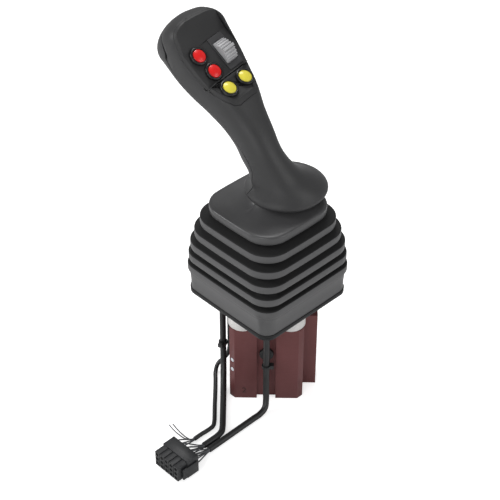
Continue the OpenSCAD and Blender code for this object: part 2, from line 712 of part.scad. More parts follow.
module enable_paddle() color("#303031") on_rear() difference() {
  union() {
    intersection() {
      rotate([90, 0, 90]) translate([0, 0, -paddle_w]) linear_extrude(2 * paddle_w) polygon([
        [0, -1], [5, 0.8], [paddle_len / 2, 2], [paddle_len - 4, 1.6], [paddle_len, 0],
        [paddle_len, -2.6], [paddle_len / 2, -2], [8, -3]]);
      translate([0, 0, -10]) linear_extrude(20) paddle_plan(0);
    }
    translate([-paddle_boss_w / 2, 4, -4]) rotate([0, 90, 0]) cylinder(r = 3.4, h = paddle_boss_w);
  }
  translate([-paddle_w, 4, -4]) rotate([0, 90, 0]) cylinder(r = paddle_pin_r + run_clear, h = 2 * paddle_w);
}

module paddle_pin() color("#a9acb0") on_rear() translate([-paddle_w / 2 - 4, 4, -4]) rotate([0, 90, 0])
  cylinder(r = paddle_pin_r, h = paddle_w + 8);

// ---- Cables ---------------------------------------------------------------

function unit(v) = v / norm(v);
// Point between p1 and p2 on a smooth curve through p0..p3
function curve_point(p0, p1, p2, p3, t) = 0.5 * ((2 * p1) + (p2 - p0) * t
  + (2 * p0 - 5 * p1 + 4 * p2 - p3) * t * t + (3 * p1 - p0 - 3 * p2 + p3) * t * t * t);
function smooth(pts, per) = let (n = len(pts)) concat([for (i = [0:n - 2], k = [0:per - 1])
  curve_point(pts[max(i - 1, 0)], pts[i], pts[i + 1], pts[min(i + 2, n - 1)], k / per)], [pts[n - 1]]);

// Round tube swept along points, its seams kept square to a level direction
module tube(pts, r, sides) {
  n = len(pts);
  skin([for (i = [0:n - 1])
    let (d = unit(pts[min(i + 1, n - 1)] - pts[max(i - 1, 0)]), e = unit(level_dir - (level_dir * d) * d),
         g = cross(d, e))
    [for (k = [0:sides - 1]) pts[i] + r * (e * cos(360 * k / sides) + g * sin(360 * k / sides))]]);
}

module cable_main() color("#262728") tube(smooth(main_route, 1), cable_r, 10);
module cable_side() color("#262728") tube(smooth(side_route, 1), cable_r, 10);
module cable_lead() color("#262728") tube(smooth(lead_route, 1), lead_r, 8);

module cable_glands() color("#1d1e1f") for (i = [0:2]) translate([cable_exits[i][0], cable_exits[i][1], 0])
  difference() {
    union() {
      translate([0, 0, flange_z]) cylinder(r = cable_radii[i] + gland_wall, h = flange_t);
      translate([0, 0, gland_z]) cylinder(r = cable_radii[i] + gland_wall + 1, h = flange_z - gland_z);
    }
    translate([0, 0, gland_z - 1]) cylinder(r = cable_radii[i], h = 40);
  }

// Round bases screwed into the grooves, each with a saddle for its strap
module tie_mount(height, reach) translate([0, 0, height]) rotate([0, -90, 0]) {
  floor_at = block_half - groove_d;
  translate([0, 0, floor_at]) cylinder(r = tie_base_r, h = tie_base_t);
  translate([-tie_drop - 1.5, -3, floor_at]) cube([3, 6, reach - cable_r - strap_t - floor_at]);
}

module tie_mounts() color("#303132") {
  turned() tie_mount(side_tie_z, -[side_route[0][0], side_route[0][1], 0] * level_dir);
  turned() rotate([0, 0, 90]) tie_mount(main_tie_z, norm([main_route[0][0], main_route[0][1]]));
}

// Strap round a cable with its locking head, laid flat at z = 0
module strap(r) {
  difference() {
    union() {
      translate([0, 0, -strap_w / 2]) cylinder(r = r + strap_t, h = strap_w);
      translate([r, -2, -1.9]) cube([3.6, 4.4, 3.8]);
    }
    translate([0, 0, -3]) cylinder(r = r + 0.02, h = 6);
  }
}

module cable_ties() color("#232425") {
  translate([side_route[0][0], side_route[0][1], side_tie_z - tie_drop]) rotate([0, 0, 200]) strap(cable_r);
  translate([main_route[0][0], main_route[0][1], main_tie_z - tie_drop]) rotate([0, 0, -45]) strap(cable_r);
}

// Middle of column c, row by row, at the back of the connector
function contact_at(c, row) = [connector_x, connector_y + (c - 2) * contact_pitch, 4.8 + row * row_pitch];

// Two columns of wires leave each main cable, the last leaves the thin one
module core_wires() color("#6b6d70") {
  ends = [main_route[len(main_route) - 1], side_route[len(side_route) - 1], lead_route[len(lead_route) - 1]];
  for (c = [0:4], row = [0:2]) {
    cable = floor(c / 2);
    fan = cable == 2 ? 0 : c % 2 - 0.5;
    from = ends[cable] + [0, 1.8 * fan, 1.2 * (row - 1)];
    to = contact_at(c, row);
    tube([from, from - [2, 0, 0], to + [2, 0, 0], to], wire_r, 6);
  }
  for (lift = [0, 1]) {
    from = ends[2] + [0, 0.7 * lift - 0.3, 0.7 * lift - 0.6];
    bow = [for (k = [0:6]) from + [-2 - 3.6 * k, 2.2 * k - 0.06 * k * k * (3 - lift), 0.12 * k * k]];
    tube(concat([from], bow), wire_r, 6);
  }
}

// Fifteen-way socket housing: solid rear half and fifteen separate silos facing -X
module connector_housing() color("#2b2c2e") {
  half = 2.5 * contact_pitch + 0.8;
  difference() {
    union() {
      translate([connector_x - housing_depth, connector_y - half, 0]) cube([housing_depth, 2 * half, housing_h]);
      for (c = [0:4], row = [0:2]) translate(contact_at(c, row) - [housing_depth + silo_len, silo_half, silo_half])
        cube([silo_len + 1, 2 * silo_half, 2 * silo_half]);
    }
    for (c = [0:4], row = [0:2]) translate(contact_at(c, row) - [housing_depth + silo_len + 1, 0, 0])
      rotate([0, 90, 0]) cylinder(r = contact_r, h = silo_len + 4);
  }
}

module connector_contacts() color("#b89a4a") for (c = [0:4], row = [0:2])
  translate(contact_at(c, row) - [housing_depth + silo_len - 2, 0, 0]) rotate([0, 90, 0]) difference() {
    cylinder(r = contact_r, h = silo_len + 1);
    translate([0, 0, -1]) cylinder(r = contact_r - 0.6, h = 6);
  }

module connector_latches() color("#2b2c2e") for (s = [-1, 1]) {
  y = connector_y + s * (2.5 * contact_pitch + 0.8);
  translate([connector_x - housing_depth - 6, s > 0 ? y : y - 1.6, 3]) cube([housing_depth + 4, 1.6, 11]);
}

// ---- Assembly -------------------------------------------------------------

valve_block();
plunger_guides();
wiper_seals();
ball_plugs();
flange_plate();
flange_screws();
lower_yoke();
yoke_screws();
joint_cross();
upper_yoke();
actuator_plate();
plate_nut();
lever_rod();
plunger_1();
plunger_2();
plunger_3();
plunger_4();
boot_skirt();
boot_lower_bellows();
boot_upper_bellows();
boot_top();
boot_collar();
grip_core();
front_shell();
rear_shell();
shell_screws();
lower_panel();
upper_panel();
circuit_board();
switch_modules();
button_bezels();
button_red_upper();
button_red_lower();
button_yellow_left();
button_yellow_right();
wheel_housing();
thumb_wheel();
paddle_pin();
enable_paddle();
tie_mounts();
cable_ties();
cable_glands();
cable_main();
cable_side();
cable_lead();
core_wires();
connector_housing();
connector_latches();
connector_contacts();
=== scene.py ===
# %% [markdown]
# # A pilot-control joystick
# The real object is a hydraulic pilot-control lever from a machine's cab: a reddish anodised valve
# block, a square bellows boot of black rubber and a moulded grip with four buttons and a thumb wheel.
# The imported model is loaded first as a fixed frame. Each visible piece is then modelled in its place,
# in metres, and rides on the body that carries it. Loading leaves the frame's nodes selected, so
# everything is deselected before the first operator acts.

# %% Load the frame
import json
from math import atan2, cos, pi, radians, sin

import bpy
import numpy as np
from mathutils import Matrix, Vector

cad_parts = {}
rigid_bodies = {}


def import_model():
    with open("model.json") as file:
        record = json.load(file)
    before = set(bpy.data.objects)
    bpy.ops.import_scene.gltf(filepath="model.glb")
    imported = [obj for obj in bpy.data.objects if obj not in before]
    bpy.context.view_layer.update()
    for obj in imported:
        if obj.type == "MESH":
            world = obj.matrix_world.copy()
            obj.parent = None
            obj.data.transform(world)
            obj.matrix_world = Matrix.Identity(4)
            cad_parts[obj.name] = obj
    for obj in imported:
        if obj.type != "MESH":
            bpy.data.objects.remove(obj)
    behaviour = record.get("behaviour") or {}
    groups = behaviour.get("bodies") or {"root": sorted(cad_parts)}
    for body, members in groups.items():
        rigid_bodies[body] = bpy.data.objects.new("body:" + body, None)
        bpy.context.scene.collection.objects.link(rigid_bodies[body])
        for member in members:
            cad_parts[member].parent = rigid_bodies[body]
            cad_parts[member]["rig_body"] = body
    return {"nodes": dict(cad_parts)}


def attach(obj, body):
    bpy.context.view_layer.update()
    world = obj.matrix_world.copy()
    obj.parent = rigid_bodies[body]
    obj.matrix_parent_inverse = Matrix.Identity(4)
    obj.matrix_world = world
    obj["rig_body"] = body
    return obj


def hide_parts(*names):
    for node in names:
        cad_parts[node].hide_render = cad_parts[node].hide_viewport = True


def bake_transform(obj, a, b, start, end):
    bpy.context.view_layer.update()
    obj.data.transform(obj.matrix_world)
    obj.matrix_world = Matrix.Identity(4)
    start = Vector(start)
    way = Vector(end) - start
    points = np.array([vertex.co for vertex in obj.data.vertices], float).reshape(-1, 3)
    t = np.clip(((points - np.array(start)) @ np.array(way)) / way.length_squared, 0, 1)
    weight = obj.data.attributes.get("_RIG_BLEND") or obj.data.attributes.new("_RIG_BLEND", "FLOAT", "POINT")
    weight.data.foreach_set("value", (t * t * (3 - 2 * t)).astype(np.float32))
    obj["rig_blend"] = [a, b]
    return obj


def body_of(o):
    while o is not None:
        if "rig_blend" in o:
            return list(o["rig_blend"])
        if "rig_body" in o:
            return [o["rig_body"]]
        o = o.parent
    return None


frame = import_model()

bpy.ops.object.select_all(action="DESELECT")
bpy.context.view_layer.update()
NODES = frame["nodes"]
MM = 0.001
print("nodes in the frame:", len(NODES))

# %% [markdown]
# ## Camera
# The view looks down over the front left corner of the boot with a long lens, so that upright edges
# stay almost parallel. The camera could be aimed with a constraint. A plain place and turn is kept
# instead, because nothing then has to be worked out again when the pieces change.

# %% Camera
bpy.ops.object.camera_add(location=(-0.6432, -0.6450, 0.8707), rotation=(radians(51.3), 0, radians(-44)))
camera = bpy.context.object
camera.name = "viewpoint"
camera.data.lens = 100.8
camera.data.sensor_width = 36
bpy.context.scene.camera = camera

# %% [markdown]
# ## Three cables
# Two round cables of 5.5 mm and a thinner one of 3.8 mm leave the flange beside the valve block, hang
# straight down through their ties, and lie on the floor up to one connector. A cable could be a mesh
# tube, but one open curve with a round bevel keeps its true length and stays smooth at every bend.

# %% Cable routes, in millimetres, and their curves
MAIN_ROUTE = [(-28, -28, 96), (-28, -28, 84), (-28, -28, 70), (-28, -28, 56), (-28, -28, 44), (-28, -28, 34),
              (-28.5, -28.5, 25), (-29.5, -29.5, 17), (-31.5, -31.5, 10), (-35, -33.8, 5), (-41, -34.8, 2.8),
              (-50, -35, 2.8), (-60, -35, 2.8), (-72, -35, 2.8), (-84, -35, 2.8), (-93, -35, 2.8),
              (-102, -35, 2.8)]
SIDE_ROUTE = [(-29, 25, 96), (-29, 25, 84), (-29, 25, 70), (-29, 25, 56), (-29, 25, 44), (-29.3, 24.6, 34),
              (-31, 22.7, 24), (-34.5, 19, 15), (-40, 13.3, 7.5), (-47, 6, 3.5), (-55, -2.3, 2.8),
              (-63, -10.6, 2.8), (-70, -17.8, 2.8), (-75.5, -23.3, 2.8), (-80, -26.9, 2.8), (-86, -28.4, 2.8),
              (-94, -28.6, 2.8), (-102, -28.6, 2.8)]
LEAD_ROUTE = [(-19, 27.4, 96), (-19, 27.4, 84), (-19, 27.4, 70), (-19, 27.4, 56), (-19, 27.4, 44),
              (-19, 27.4, 32), (-19.2, 27.7, 24), (-20.4, 29, 17), (-23.4, 31.4, 11.5), (-27.5, 33.6, 7),
              (-33, 31, 3.4), (-40, 23.8, 2), (-48, 15.4, 2), (-56, 7.2, 2), (-64, -1, 2), (-71, -8.4, 2),
              (-76, -13.4, 2), (-80.5, -16.6, 2), (-86, -17.2, 2), (-94, -16.8, 2), (-102, -16.8, 2)]


def run_length(route):
    """Length along a route's points, in millimetres."""
    return sum((Vector(b) - Vector(a)).length for a, b in zip(route, route[1:]))


def tube(name, points, radius, around, along):
    """One open smooth curve with a round section, its points and radius in millimetres.

    The bevel is one unit deep and the radius sits in the points, because the curve's box is worked out
    from the points' radii. around and along are the resolutions of the section and of each span.
    """
    curve = bpy.data.curves.new(name, "CURVE")
    curve.dimensions = "3D"
    curve.bevel_depth = 1.0
    curve.bevel_resolution = around
    curve.resolution_u = along
    curve.use_fill_caps = True
    spline = curve.splines.new("BEZIER")
    spline.bezier_points.add(len(points) - 1)
    for point, place in zip(spline.bezier_points, points):
        point.co = Vector(place) * MM
        point.radius = radius * MM
        point.handle_left_type = point.handle_right_type = "AUTO"
    made = bpy.data.objects.new(name, curve)
    bpy.context.collection.objects.link(made)
    return made


def cable_curve(name, route, diameter):
    """A cable on its route, riding on the base."""
    cable = tube(name, route, diameter / 2, around=5, along=8)
    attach(cable, "base")
    return cable


ROUND_DIAMETER = 5.5
LEAD_DIAMETER = 3.8
main_cable = cable_curve("main_cable", MAIN_ROUTE, ROUND_DIAMETER)
side_cable = cable_curve("side_cable", SIDE_ROUTE, ROUND_DIAMETER)
thin_lead = cable_curve("thin_lead", LEAD_ROUTE, LEAD_DIAMETER)
CABLES = ((main_cable, MAIN_ROUTE, ROUND_DIAMETER), (side_cable, SIDE_ROUTE, ROUND_DIAMETER),
          (thin_lead, LEAD_ROUTE, LEAD_DIAMETER))
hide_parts("cable_main")
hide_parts("cable_side")
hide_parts("cable_lead")
for cable, route, _ in CABLES:
    print(cable.name, "runs", round(run_length(route)), "mm")

# %% [markdown]
# ## Helpers for modelling
# Most pieces are closed skins over rings of points. As by hand, a circle is added and extruded once for
# every further ring. The height and the angle of each vertex then say which ring and which place on it
# the vertex belongs to, and it is moved to its real place. Flat pieces are outlines that are filled
# and extruded. Both helpers leave the piece's object at the origin.

# %% Modelling helpers
def pick(*pieces):
    """Selects these pieces alone, the last one active."""
    bpy.ops.object.select_all(action="DESELECT")
    for piece in pieces:
        piece.select_set(True)
    bpy.context.view_layer.objects.active = pieces[-1]


def edit(action, **settings):
    """Runs one mesh operator on the whole of the active piece."""
    bpy.ops.object.mode_set(mode="EDIT")
    bpy.ops.mesh.select_all(action="SELECT")
    action(**settings)
    bpy.ops.object.mode_set(mode="OBJECT")


def place_vertices(piece, where):
    """Moves every vertex to the place that where(x, y, z) gives, in millimetres."""
    spots = [where(*v.co) for v in piece.data.vertices]
    piece.data.vertices.foreach_set("co", (np.array(spots, float) * MM).ravel())
    piece.data.update()


def ringed(name, rings, cap_start=True, cap_end=True):
    """A skin over rings of points in millimetres, made by extruding a circle once for each ring."""
    rings = np.array(rings, float)
    around = rings.shape[1]
    fill = "NGON" if cap_start else "NOTHING"
    bpy.ops.mesh.primitive_circle_add(vertices=around, radius=1, fill_type=fill)
    piece = bpy.context.object
    piece.name = name
    bpy.ops.object.mode_set(mode="EDIT")
    bpy.ops.mesh.select_all(action="SELECT")
    if cap_start:
        bpy.ops.mesh.extrude_region_move(TRANSFORM_OT_translate={"value": (0, 0, 1)})
    else:
        bpy.ops.mesh.extrude_edges_move(TRANSFORM_OT_translate={"value": (0, 0, 1)})
    for _ in range(len(rings) - 2):
        bpy.ops.mesh.extrude_region_move(TRANSFORM_OT_translate={"value": (0, 0, 1)})
    bpy.ops.object.mode_set(mode="OBJECT")
    if cap_start and not cap_end:
        bpy.ops.object.mode_set(mode="EDIT")
        bpy.ops.mesh.delete(type="ONLY_FACE")
        bpy.ops.object.mode_set(mode="OBJECT")
    if cap_end and not cap_start:
        bpy.ops.object.mode_set(mode="EDIT")
        bpy.ops.mesh.edge_face_add()
        bpy.ops.object.mode_set(mode="OBJECT")
    start = piece.data.vertices[0].co
    first = atan2(start.y, start.x)

    def where(x, y, z):
        return rings[round(z)][round((atan2(y, x) - first) / (2 * pi) * around) % around]

    place_vertices(piece, where)
    pick(piece)
    edit(bpy.ops.mesh.normals_make_consistent, inside=False)
    return piece


def circle_rings(profile, around=64, centre=(0, 0)):
    """Rings for a turned piece: its profile gives radius and height."""
    turn = [2 * pi * k / around for k in range(around)]
    return [[(centre[0] + r * cos(t), centre[1] + r * sin(t), z) for t in turn] for r, z in profile]


def prism(name, outline, low, high, frame_of=None):
    """A flat outline in x and y, extruded from low to high, in millimetres, set in a frame."""
    piece = ringed(name, [[(x, y, z) for x, y in outline] for z in (low, high)])
    if frame_of is not None:
        set_in(piece, frame_of)
    return piece


def box_outline(x, y, half_x, half_y):
    """The four corners of a rectangle about a centre."""
    return [(x - half_x, y - half_y), (x + half_x, y - half_y),
            (x + half_x, y + half_y), (x - half_x, y + half_y)]


def set_in(piece, frame_of):
    """Turns a piece's mesh into a frame whose matrix is in millimetres."""
    turn = Matrix.Scale(MM, 4) @ frame_of @ Matrix.Scale(1 / MM, 4)
    piece.data.transform(turn)
    piece.data.update()


def modify(piece, kind, **settings):
    """Adds a modifier with its settings and applies it."""
    pick(piece)
    modifier = piece.modifiers.new(kind.title(), kind)
    for key, value in settings.items():
        setattr(modifier, key, value)
    bpy.ops.object.modifier_apply(modifier=modifier.name)
    return piece


def cut(piece, tool, operation="DIFFERENCE"):
    """Boolean with a tool, which is then deleted."""
    modify(piece, "BOOLEAN", object=tool, operation=operation, solver="EXACT")
    bpy.data.objects.remove(tool)
    return piece


def round_edges(piece, width, angle=35, segments=2, clamp=True):
    """Small rounded edges, in millimetres, and shading that stays crisp past them."""
    modify(piece, "BEVEL", width=width * MM, segments=segments, limit_method="ANGLE",
           angle_limit=radians(angle), use_clamp_overlap=clamp, miter_outer="MITER_ARC",
           harden_normals=False)
    pick(piece)
    bpy.ops.object.shade_smooth_by_angle(angle=radians(angle))
    return piece


def settle(piece, body, slot, material, *nodes):
    """Gives a finished piece its body, material and the nodes that it stands for; slot is not used."""
    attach(piece, body)
    if nodes:
        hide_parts(*nodes)
    if material is not None:
        piece.data.materials.clear()
        piece.data.materials.append(material)
    return piece


def eased_copy(node, name, width, material, slot, merge=0.01, clean=2.0, angle=35):
    """A copy of a node with its triangles merged into flat faces and its edges rounded."""
    piece = bpy.data.objects.new(name, NODES[node].data.copy())
    bpy.context.collection.objects.link(piece)
    piece.data.materials.clear()
    pick(piece)
    edit(bpy.ops.mesh.remove_doubles, threshold=merge * MM)
    edit(bpy.ops.mesh.dissolve_limited, angle_limit=radians(clean))
    round_edges(piece, width, angle)
    return settle(piece, body_of(NODES[node])[0], slot, material, node)

# %% [markdown]
# ## Finishes
# Each finish is named for the real material and how its surface was made, but for the near-black of the
# boot's folds, which is painted shade and which the skirt's lip shares. Colours are written as sRGB hex
# values and turned to linear by one function. All patterns are procedural and read Object coordinates,
# which are metres here, so their scale comes from a real size in millimetres.

# %% Colour and node helpers
def linear(code):
    """Linear colour of an sRGB hex value."""
    parts = [int(code[i:i + 2], 16) / 255 for i in (1, 3, 5)]
    return [p / 12.92 if p <= 0.04045 else ((p + 0.055) / 1.055) ** 2.4 for p in parts] + [1.0]


def add_node(tree, kind, settings=None, sockets=None):
    """Adds a node, sets its settings, and sets or links its sockets."""
    node = tree.nodes.new(kind)
    for key, value in (settings or {}).items():
        setattr(node, key, value)
    for key, value in (sockets or {}).items():
        if isinstance(value, bpy.types.NodeSocket):
            tree.links.new(value, node.inputs[key])
        else:
            node.inputs[key].default_value = value
    return node


def per_mm(size):
    """Noise scale whose features are about this many millimetres across."""
    return 1 / (size * MM)


GRAIN_TINT = 0.12
PATCH_TINT = 0.5
PATCH_SIZE = 25
GLOSS_SWING = 0.05


def finish(name, colour, worn, rough, grain, height, metal=0.0, stretch=(1, 1, 1)):
    """A surface with fine grain in its bump and slow patches in its colour and roughness.

    grain is the size of the grains and height their depth, both in millimetres.
    """
    material = bpy.data.materials.new(name)
    material.use_nodes = True
    tree = material.node_tree
    tree.nodes.clear()
    place = add_node(tree, "ShaderNodeTexCoord")
    turn = add_node(tree, "ShaderNodeMapping", None, {"Vector": place.outputs["Object"], "Scale": stretch})
    fine = add_node(tree, "ShaderNodeTexNoise", None,
                    {"Vector": turn.outputs[0], "Scale": per_mm(grain), "Detail": 3.0,
                     "Roughness": 0.6})
    slow = add_node(tree, "ShaderNodeTexNoise", None,
                    {"Vector": place.outputs["Object"], "Scale": per_mm(PATCH_SIZE), "Detail": 4.0})
    blend = add_node(tree, "ShaderNodeMapRange", None,
                     {"Value": slow.outputs[0], "From Min": 0.35, "From Max": 0.7,
                      "To Min": 0.0, "To Max": PATCH_TINT})
    grains = add_node(tree, "ShaderNodeMapRange", None,
                      {"Value": fine.outputs[0], "From Min": 0.3, "From Max": 0.7,
                       "To Min": -GRAIN_TINT, "To Max": GRAIN_TINT})
    share = add_node(tree, "ShaderNodeMath", {"operation": "ADD", "use_clamp": True},
                     {0: blend.outputs[0], 1: grains.outputs[0]})
    # The mix node's sockets 0, 6 and 7 and its output 2 are its factor and its colours
    tint = add_node(tree, "ShaderNodeMix", {"data_type": "RGBA"},
                    {0: share.outputs[0], 6: linear(colour), 7: linear(worn)})
    gloss = add_node(tree, "ShaderNodeMapRange", None,
                     {"Value": slow.outputs[0], "From Min": 0.3, "From Max": 0.7,
                      "To Min": rough - GLOSS_SWING, "To Max": rough + GLOSS_SWING})
    bump = add_node(tree, "ShaderNodeBump", None,
                    {"Strength": 0.6, "Distance": height * MM, "Height": fine.outputs[0]})
    shader = add_node(tree, "ShaderNodeBsdfPrincipled", None,
                      {"Base Color": tint.outputs[2], "Metallic": metal,
                       "Roughness": gloss.outputs[0], "Normal": bump.outputs[0]})
    add_node(tree, "ShaderNodeOutputMaterial", None, {"Surface": shader.outputs[0]})
    return material


# Anodised aluminium, saw-grained across: dull red-brown, its cut edges paler
anodised = finish("anodised_aluminium", "#6a3c3c", "#7a4a4b", 0.46, 0.8, 0.05, metal=0.35,
                  stretch=(0.15, 0.15, 1.6))
# Moulded synthetic rubber: soft satin, slightly chalky
rubber = finish("moulded_boot_rubber", "#505051", "#5a5a5b", 0.42, 0.35, 0.03)
# Near-black painted shade for the deep folds between the pleats; the skirt's thin lip takes it too
fold_shade_and_lip_black = finish("boot_fold_shade_and_lip_black", "#101011", "#161617", 0.7, 0.5, 0.03)
rubber_top = finish("satin_boot_top", "#4a4a4b", "#555556", 0.33, 0.6, 0.02)
# Spark-eroded nylon of the grip: even fine grain, low gloss
grip_nylon = finish("grained_grip_nylon", "#333334", "#39393a", 0.5, 0.4, 0.03)
rear_nylon = finish("grained_rear_nylon", "#3c3c3d", "#434344", 0.5, 0.4, 0.03)
panel_nylon = finish("matt_panel_nylon", "#2c2c2d", "#323233", 0.55, 0.3, 0.02)
frame_nylon = finish("wheel_frame_nylon", "#3e3e40", "#454547", 0.5, 0.3, 0.02)
bezel_nylon = finish("gloss_bezel_nylon", "#161617", "#1e1e1f", 0.3, 0.5, 0.01)
red_cap = finish("red_button_acrylic", "#ee1616", "#f82424", 0.28, 2.0, 0.004)
yellow_cap = finish("yellow_button_acrylic", "#f3e445", "#fbf060", 0.28, 2.0, 0.004)
wheel_nylon = finish("grey_wheel_nylon", "#b9b9bb", "#c9c9cb", 0.42, 0.4, 0.02)
acetal = finish("white_acetal", "#dcdad8", "#e8e6e4", 0.35, 0.6, 0.01)
zinc = finish("black_zinc_steel", "#232426", "#2c2d2f", 0.4, 0.6, 0.02, metal=0.5)
bright_zinc = finish("bright_zinc_screws", "#8d9093", "#a4a7aa", 0.3, 0.4, 0.01, metal=0.9)
forged = finish("forged_yoke_steel", "#6e7175", "#7e8185", 0.5, 0.9, 0.06, metal=0.9)
ground = finish("ground_plunger_steel", "#b4b7bb", "#c4c7ca", 0.22, 0.3, 0.005, metal=1.0,
                stretch=(1, 1, 4))
ball_steel = finish("polished_ball_steel", "#d5d9e0", "#e6e9ee", 0.15, 1.0, 0.002, metal=0.9)
seal_rubber = finish("nitrile_seal_rubber", "#1b1b1c", "#242425", 0.6, 0.4, 0.02)
cable_jacket = finish("cable_jacket_pvc", "#222324", "#2c2d2e", 0.42, 0.6, 0.02)
tie_nylon = finish("tie_nylon", "#1f2021", "#2a2b2c", 0.45, 0.5, 0.02)
wire_pvc = finish("core_wire_pvc", "#515356", "#6b6d70", 0.45, 0.6, 0.01)
connector_nylon = finish("glass_filled_connector_nylon", "#252628", "#323335", 0.4, 0.35, 0.03)
brass = finish("tinned_brass_contacts", "#b0934a", "#c6ab63", 0.3, 0.4, 0.01, metal=1.0)
board_epoxy = finish("green_board_epoxy", "#1d5435", "#256340", 0.4, 0.8, 0.02)
switch_nylon = finish("switch_case_nylon", "#20262e", "#2a3038", 0.45, 0.5, 0.02)
ink = finish("engraved_numerals", "#351d1d", "#3e2323", 0.6, 0.5, 0.01)
for cable in (main_cable, side_cable, thin_lead):
    cable.data.materials.append(cable_jacket)
print("finishes:", len(bpy.data.materials))

# %% [markdown]
# ## Bellows boot
# The boot is a moulded square bellows: a straight skirt, five pleats and a dished top that grips the
# lever. Its rings are rounded squares. The pleats have flat rims with rounded edges and fold steeply
# inwards between them, and the folds are painted near black as shade. It could be one skin, but the
# lever tilts about two axes, so it is four pieces that join in the folds: the skirt stays still, the lower
# and upper bellows bend, and the top goes with the lever.

# %% Outline of the boot
FOOT_Z = 100.6
BOOT_H = 91
RIM_HALF = 40.5
PLEAT_HALF = 51.8
RIM_FACE = 7.8
FOLD = 6
CORNER_STEPS = 12
SIDE_STEPS = 6
QUARTER_SIGNS = ((1, 1), (-1, 1), (-1, -1), (1, -1))
# Turns over which a rim's edge is rounded
EDGE_TURNS = (0, pi / 6, pi / 3, pi / 2)
# Faces that slope more than this across the axis lie in a fold and are painted near black as shade
FOLD_SLOPE = 0.55


def pleat_half(i):
    """Half width of pleat i: 0 is the skirt's rim and 5 the top's."""
    return RIM_HALF if i > 4 else PLEAT_HALF - 0.75 * max(0, i - 1.2) ** 2


def pleat_top(i):
    """Height of the upper edge of pleat i."""
    return FOOT_Z + BOOT_H * (0.323 + 0.134 * i)


def pleat_corner(i):
    """Corner radius of pleat i."""
    return min(15 + 2.5 * i, 22)


def square_ring(half, z, corner, bow=0.35):
    """Points of a rounded square whose sides bow out a little."""
    points = []
    for quarter in range(4):
        sx, sy = QUARTER_SIGNS[quarter]
        for k in range(CORNER_STEPS + 1):
            t = (quarter + k / CORNER_STEPS) * pi / 2
            points.append((sx * (half - corner) + corner * cos(t),
                           sy * (half - corner) + corner * sin(t), z))
        side = (quarter + 1) * pi / 2
        ax, ay, _ = points[-1]
        run = 2 * (half - corner)
        for k in range(1, SIDE_STEPS):
            f = k / SIDE_STEPS
            push = bow * 4 * f * (1 - f)
            points.append((ax + push * cos(side) - run * f * sin(side),
                           ay + push * sin(side) + run * f * cos(side), z))
    return points


def rim(i, edge=1.3):
    """Rings over one pleat's flat rim, its edges rounded."""
    half, top, corner = pleat_half(i), pleat_top(i), pleat_corner(i)
    foot = top - RIM_FACE
    lower = [(half - edge * (1 - sin(a)), foot + edge * (1 - cos(a))) for a in EDGE_TURNS]
    upper = [(half - edge * (1 - cos(a)), top - edge * (1 - sin(a))) for a in EDGE_TURNS]
    return [square_ring(h, z, max(corner - (half - h), 4)) for h, z in lower + upper]


def fold(i, deep=FOLD, rise=1.0):
    """Ring at the bottom of the fold above pleat i."""
    return square_ring(pleat_half(i) - deep, pleat_top(i) + rise, pleat_corner(i) - deep / 2)


def foot_of(i, deep=FOLD):
    """Ring at the bottom of the fold below pleat i."""
    return square_ring(pleat_half(i) - deep, pleat_top(i) - RIM_FACE - 1.5,
                       pleat_corner(i) - deep / 2)


def boot_piece(name, rings, material, wall=1.6):
    """A boot skin from its rings, with its rubber wall inwards and its folds painted near black as shade."""
    piece = ringed(name, rings, cap_start=False, cap_end=False)
    piece.data.materials.append(material)
    piece.data.materials.append(fold_shade_and_lip_black)
    modify(piece, "SOLIDIFY", thickness=wall * MM, offset=-1)
    pick(piece)
    bpy.ops.object.shade_smooth_by_angle(angle=radians(50))
    # Fold faces take the second material, the near-black painted shade
    for face in piece.data.polygons:
        if abs(face.normal.z) > FOLD_SLOPE and name != "boot_top_skin":
            face.material_index = 1
    return piece

# %% [markdown]
# ## The four boot pieces
# The skirt widens a little up to its rim and stands on a thin black lip. The top rises from its rim in
# a soft dish to the neck. Each piece's rings are listed from the bottom up.

# %% Boot pieces
lip_rings = [square_ring(48, FOOT_Z + 0.1, 10), square_ring(49.3, FOOT_Z + 0.3, 11),
             square_ring(49.4, FOOT_Z + 2.0, 11), square_ring(48.7, FOOT_Z + 2.4, 10.6)]
rim_foot = pleat_top(0) - RIM_FACE
wall_rings = [square_ring(48.75, FOOT_Z + 10, 10.8), square_ring(49.7, rim_foot - 4, 12.5),
              square_ring(50.6, rim_foot - 1.2, 13.6)]
skirt = boot_piece("boot_skirt_skin", lip_rings + wall_rings + rim(0), rubber)
# The lip's faces take the same near-black as the painted fold shade
for face in skirt.data.polygons:
    if face.center.z < (FOOT_Z + 2.3) * MM:
        face.material_index = 1
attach(skirt, "base")
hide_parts("boot_skirt")

lower = boot_piece("boot_lower_skin", [rim(0)[-1], fold(0), foot_of(1)] + rim(1), rubber)
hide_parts("boot_lower_bellows")
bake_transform(lower, "base", "gimbal", start=(0, 0, pleat_top(0) * MM), end=(0, 0, pleat_top(1) * MM))

upper_rings = [rim(1)[-1], fold(1)]
for i in (2, 3, 4):
    upper_rings += [foot_of(i)] + rim(i)
    if i < 4:
        upper_rings.append(fold(i))
upper_rings.append(square_ring(35.2, pleat_top(5) - RIM_FACE - 1.9, 19))
upper = boot_piece("boot_upper_skin", upper_rings, rubber)
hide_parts("boot_upper_bellows")
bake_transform(upper, "gimbal", "lever", start=(0, 0, pleat_top(1) * MM),
         end=(0, 0, (pleat_top(5) - RIM_FACE - 2) * MM))

# Half width and height above the top's rim
dish = [(38.6, 0.1), (37, 0.2), (33, 0.35), (28, 0.7), (23, 1.3), (18.5, 2.4), (15.5, 4.2),
        (13.4, 6.4), (12.7, 8.5)]
top_rings = [square_ring(34.8, pleat_top(5) - RIM_FACE - 1.5, 18.8)] + rim(5, 1.6)[:-1]
top_rings += [square_ring(h, pleat_top(5) + z, min(h - 0.3, 22)) for h, z in dish]
boot_top = boot_piece("boot_top_skin", top_rings, rubber_top)
settle(boot_top, "lever", "boot_rubber", None, "boot_top")
print("boot pieces:", [len(p.data.polygons) for p in (skirt, lower, upper, boot_top)])

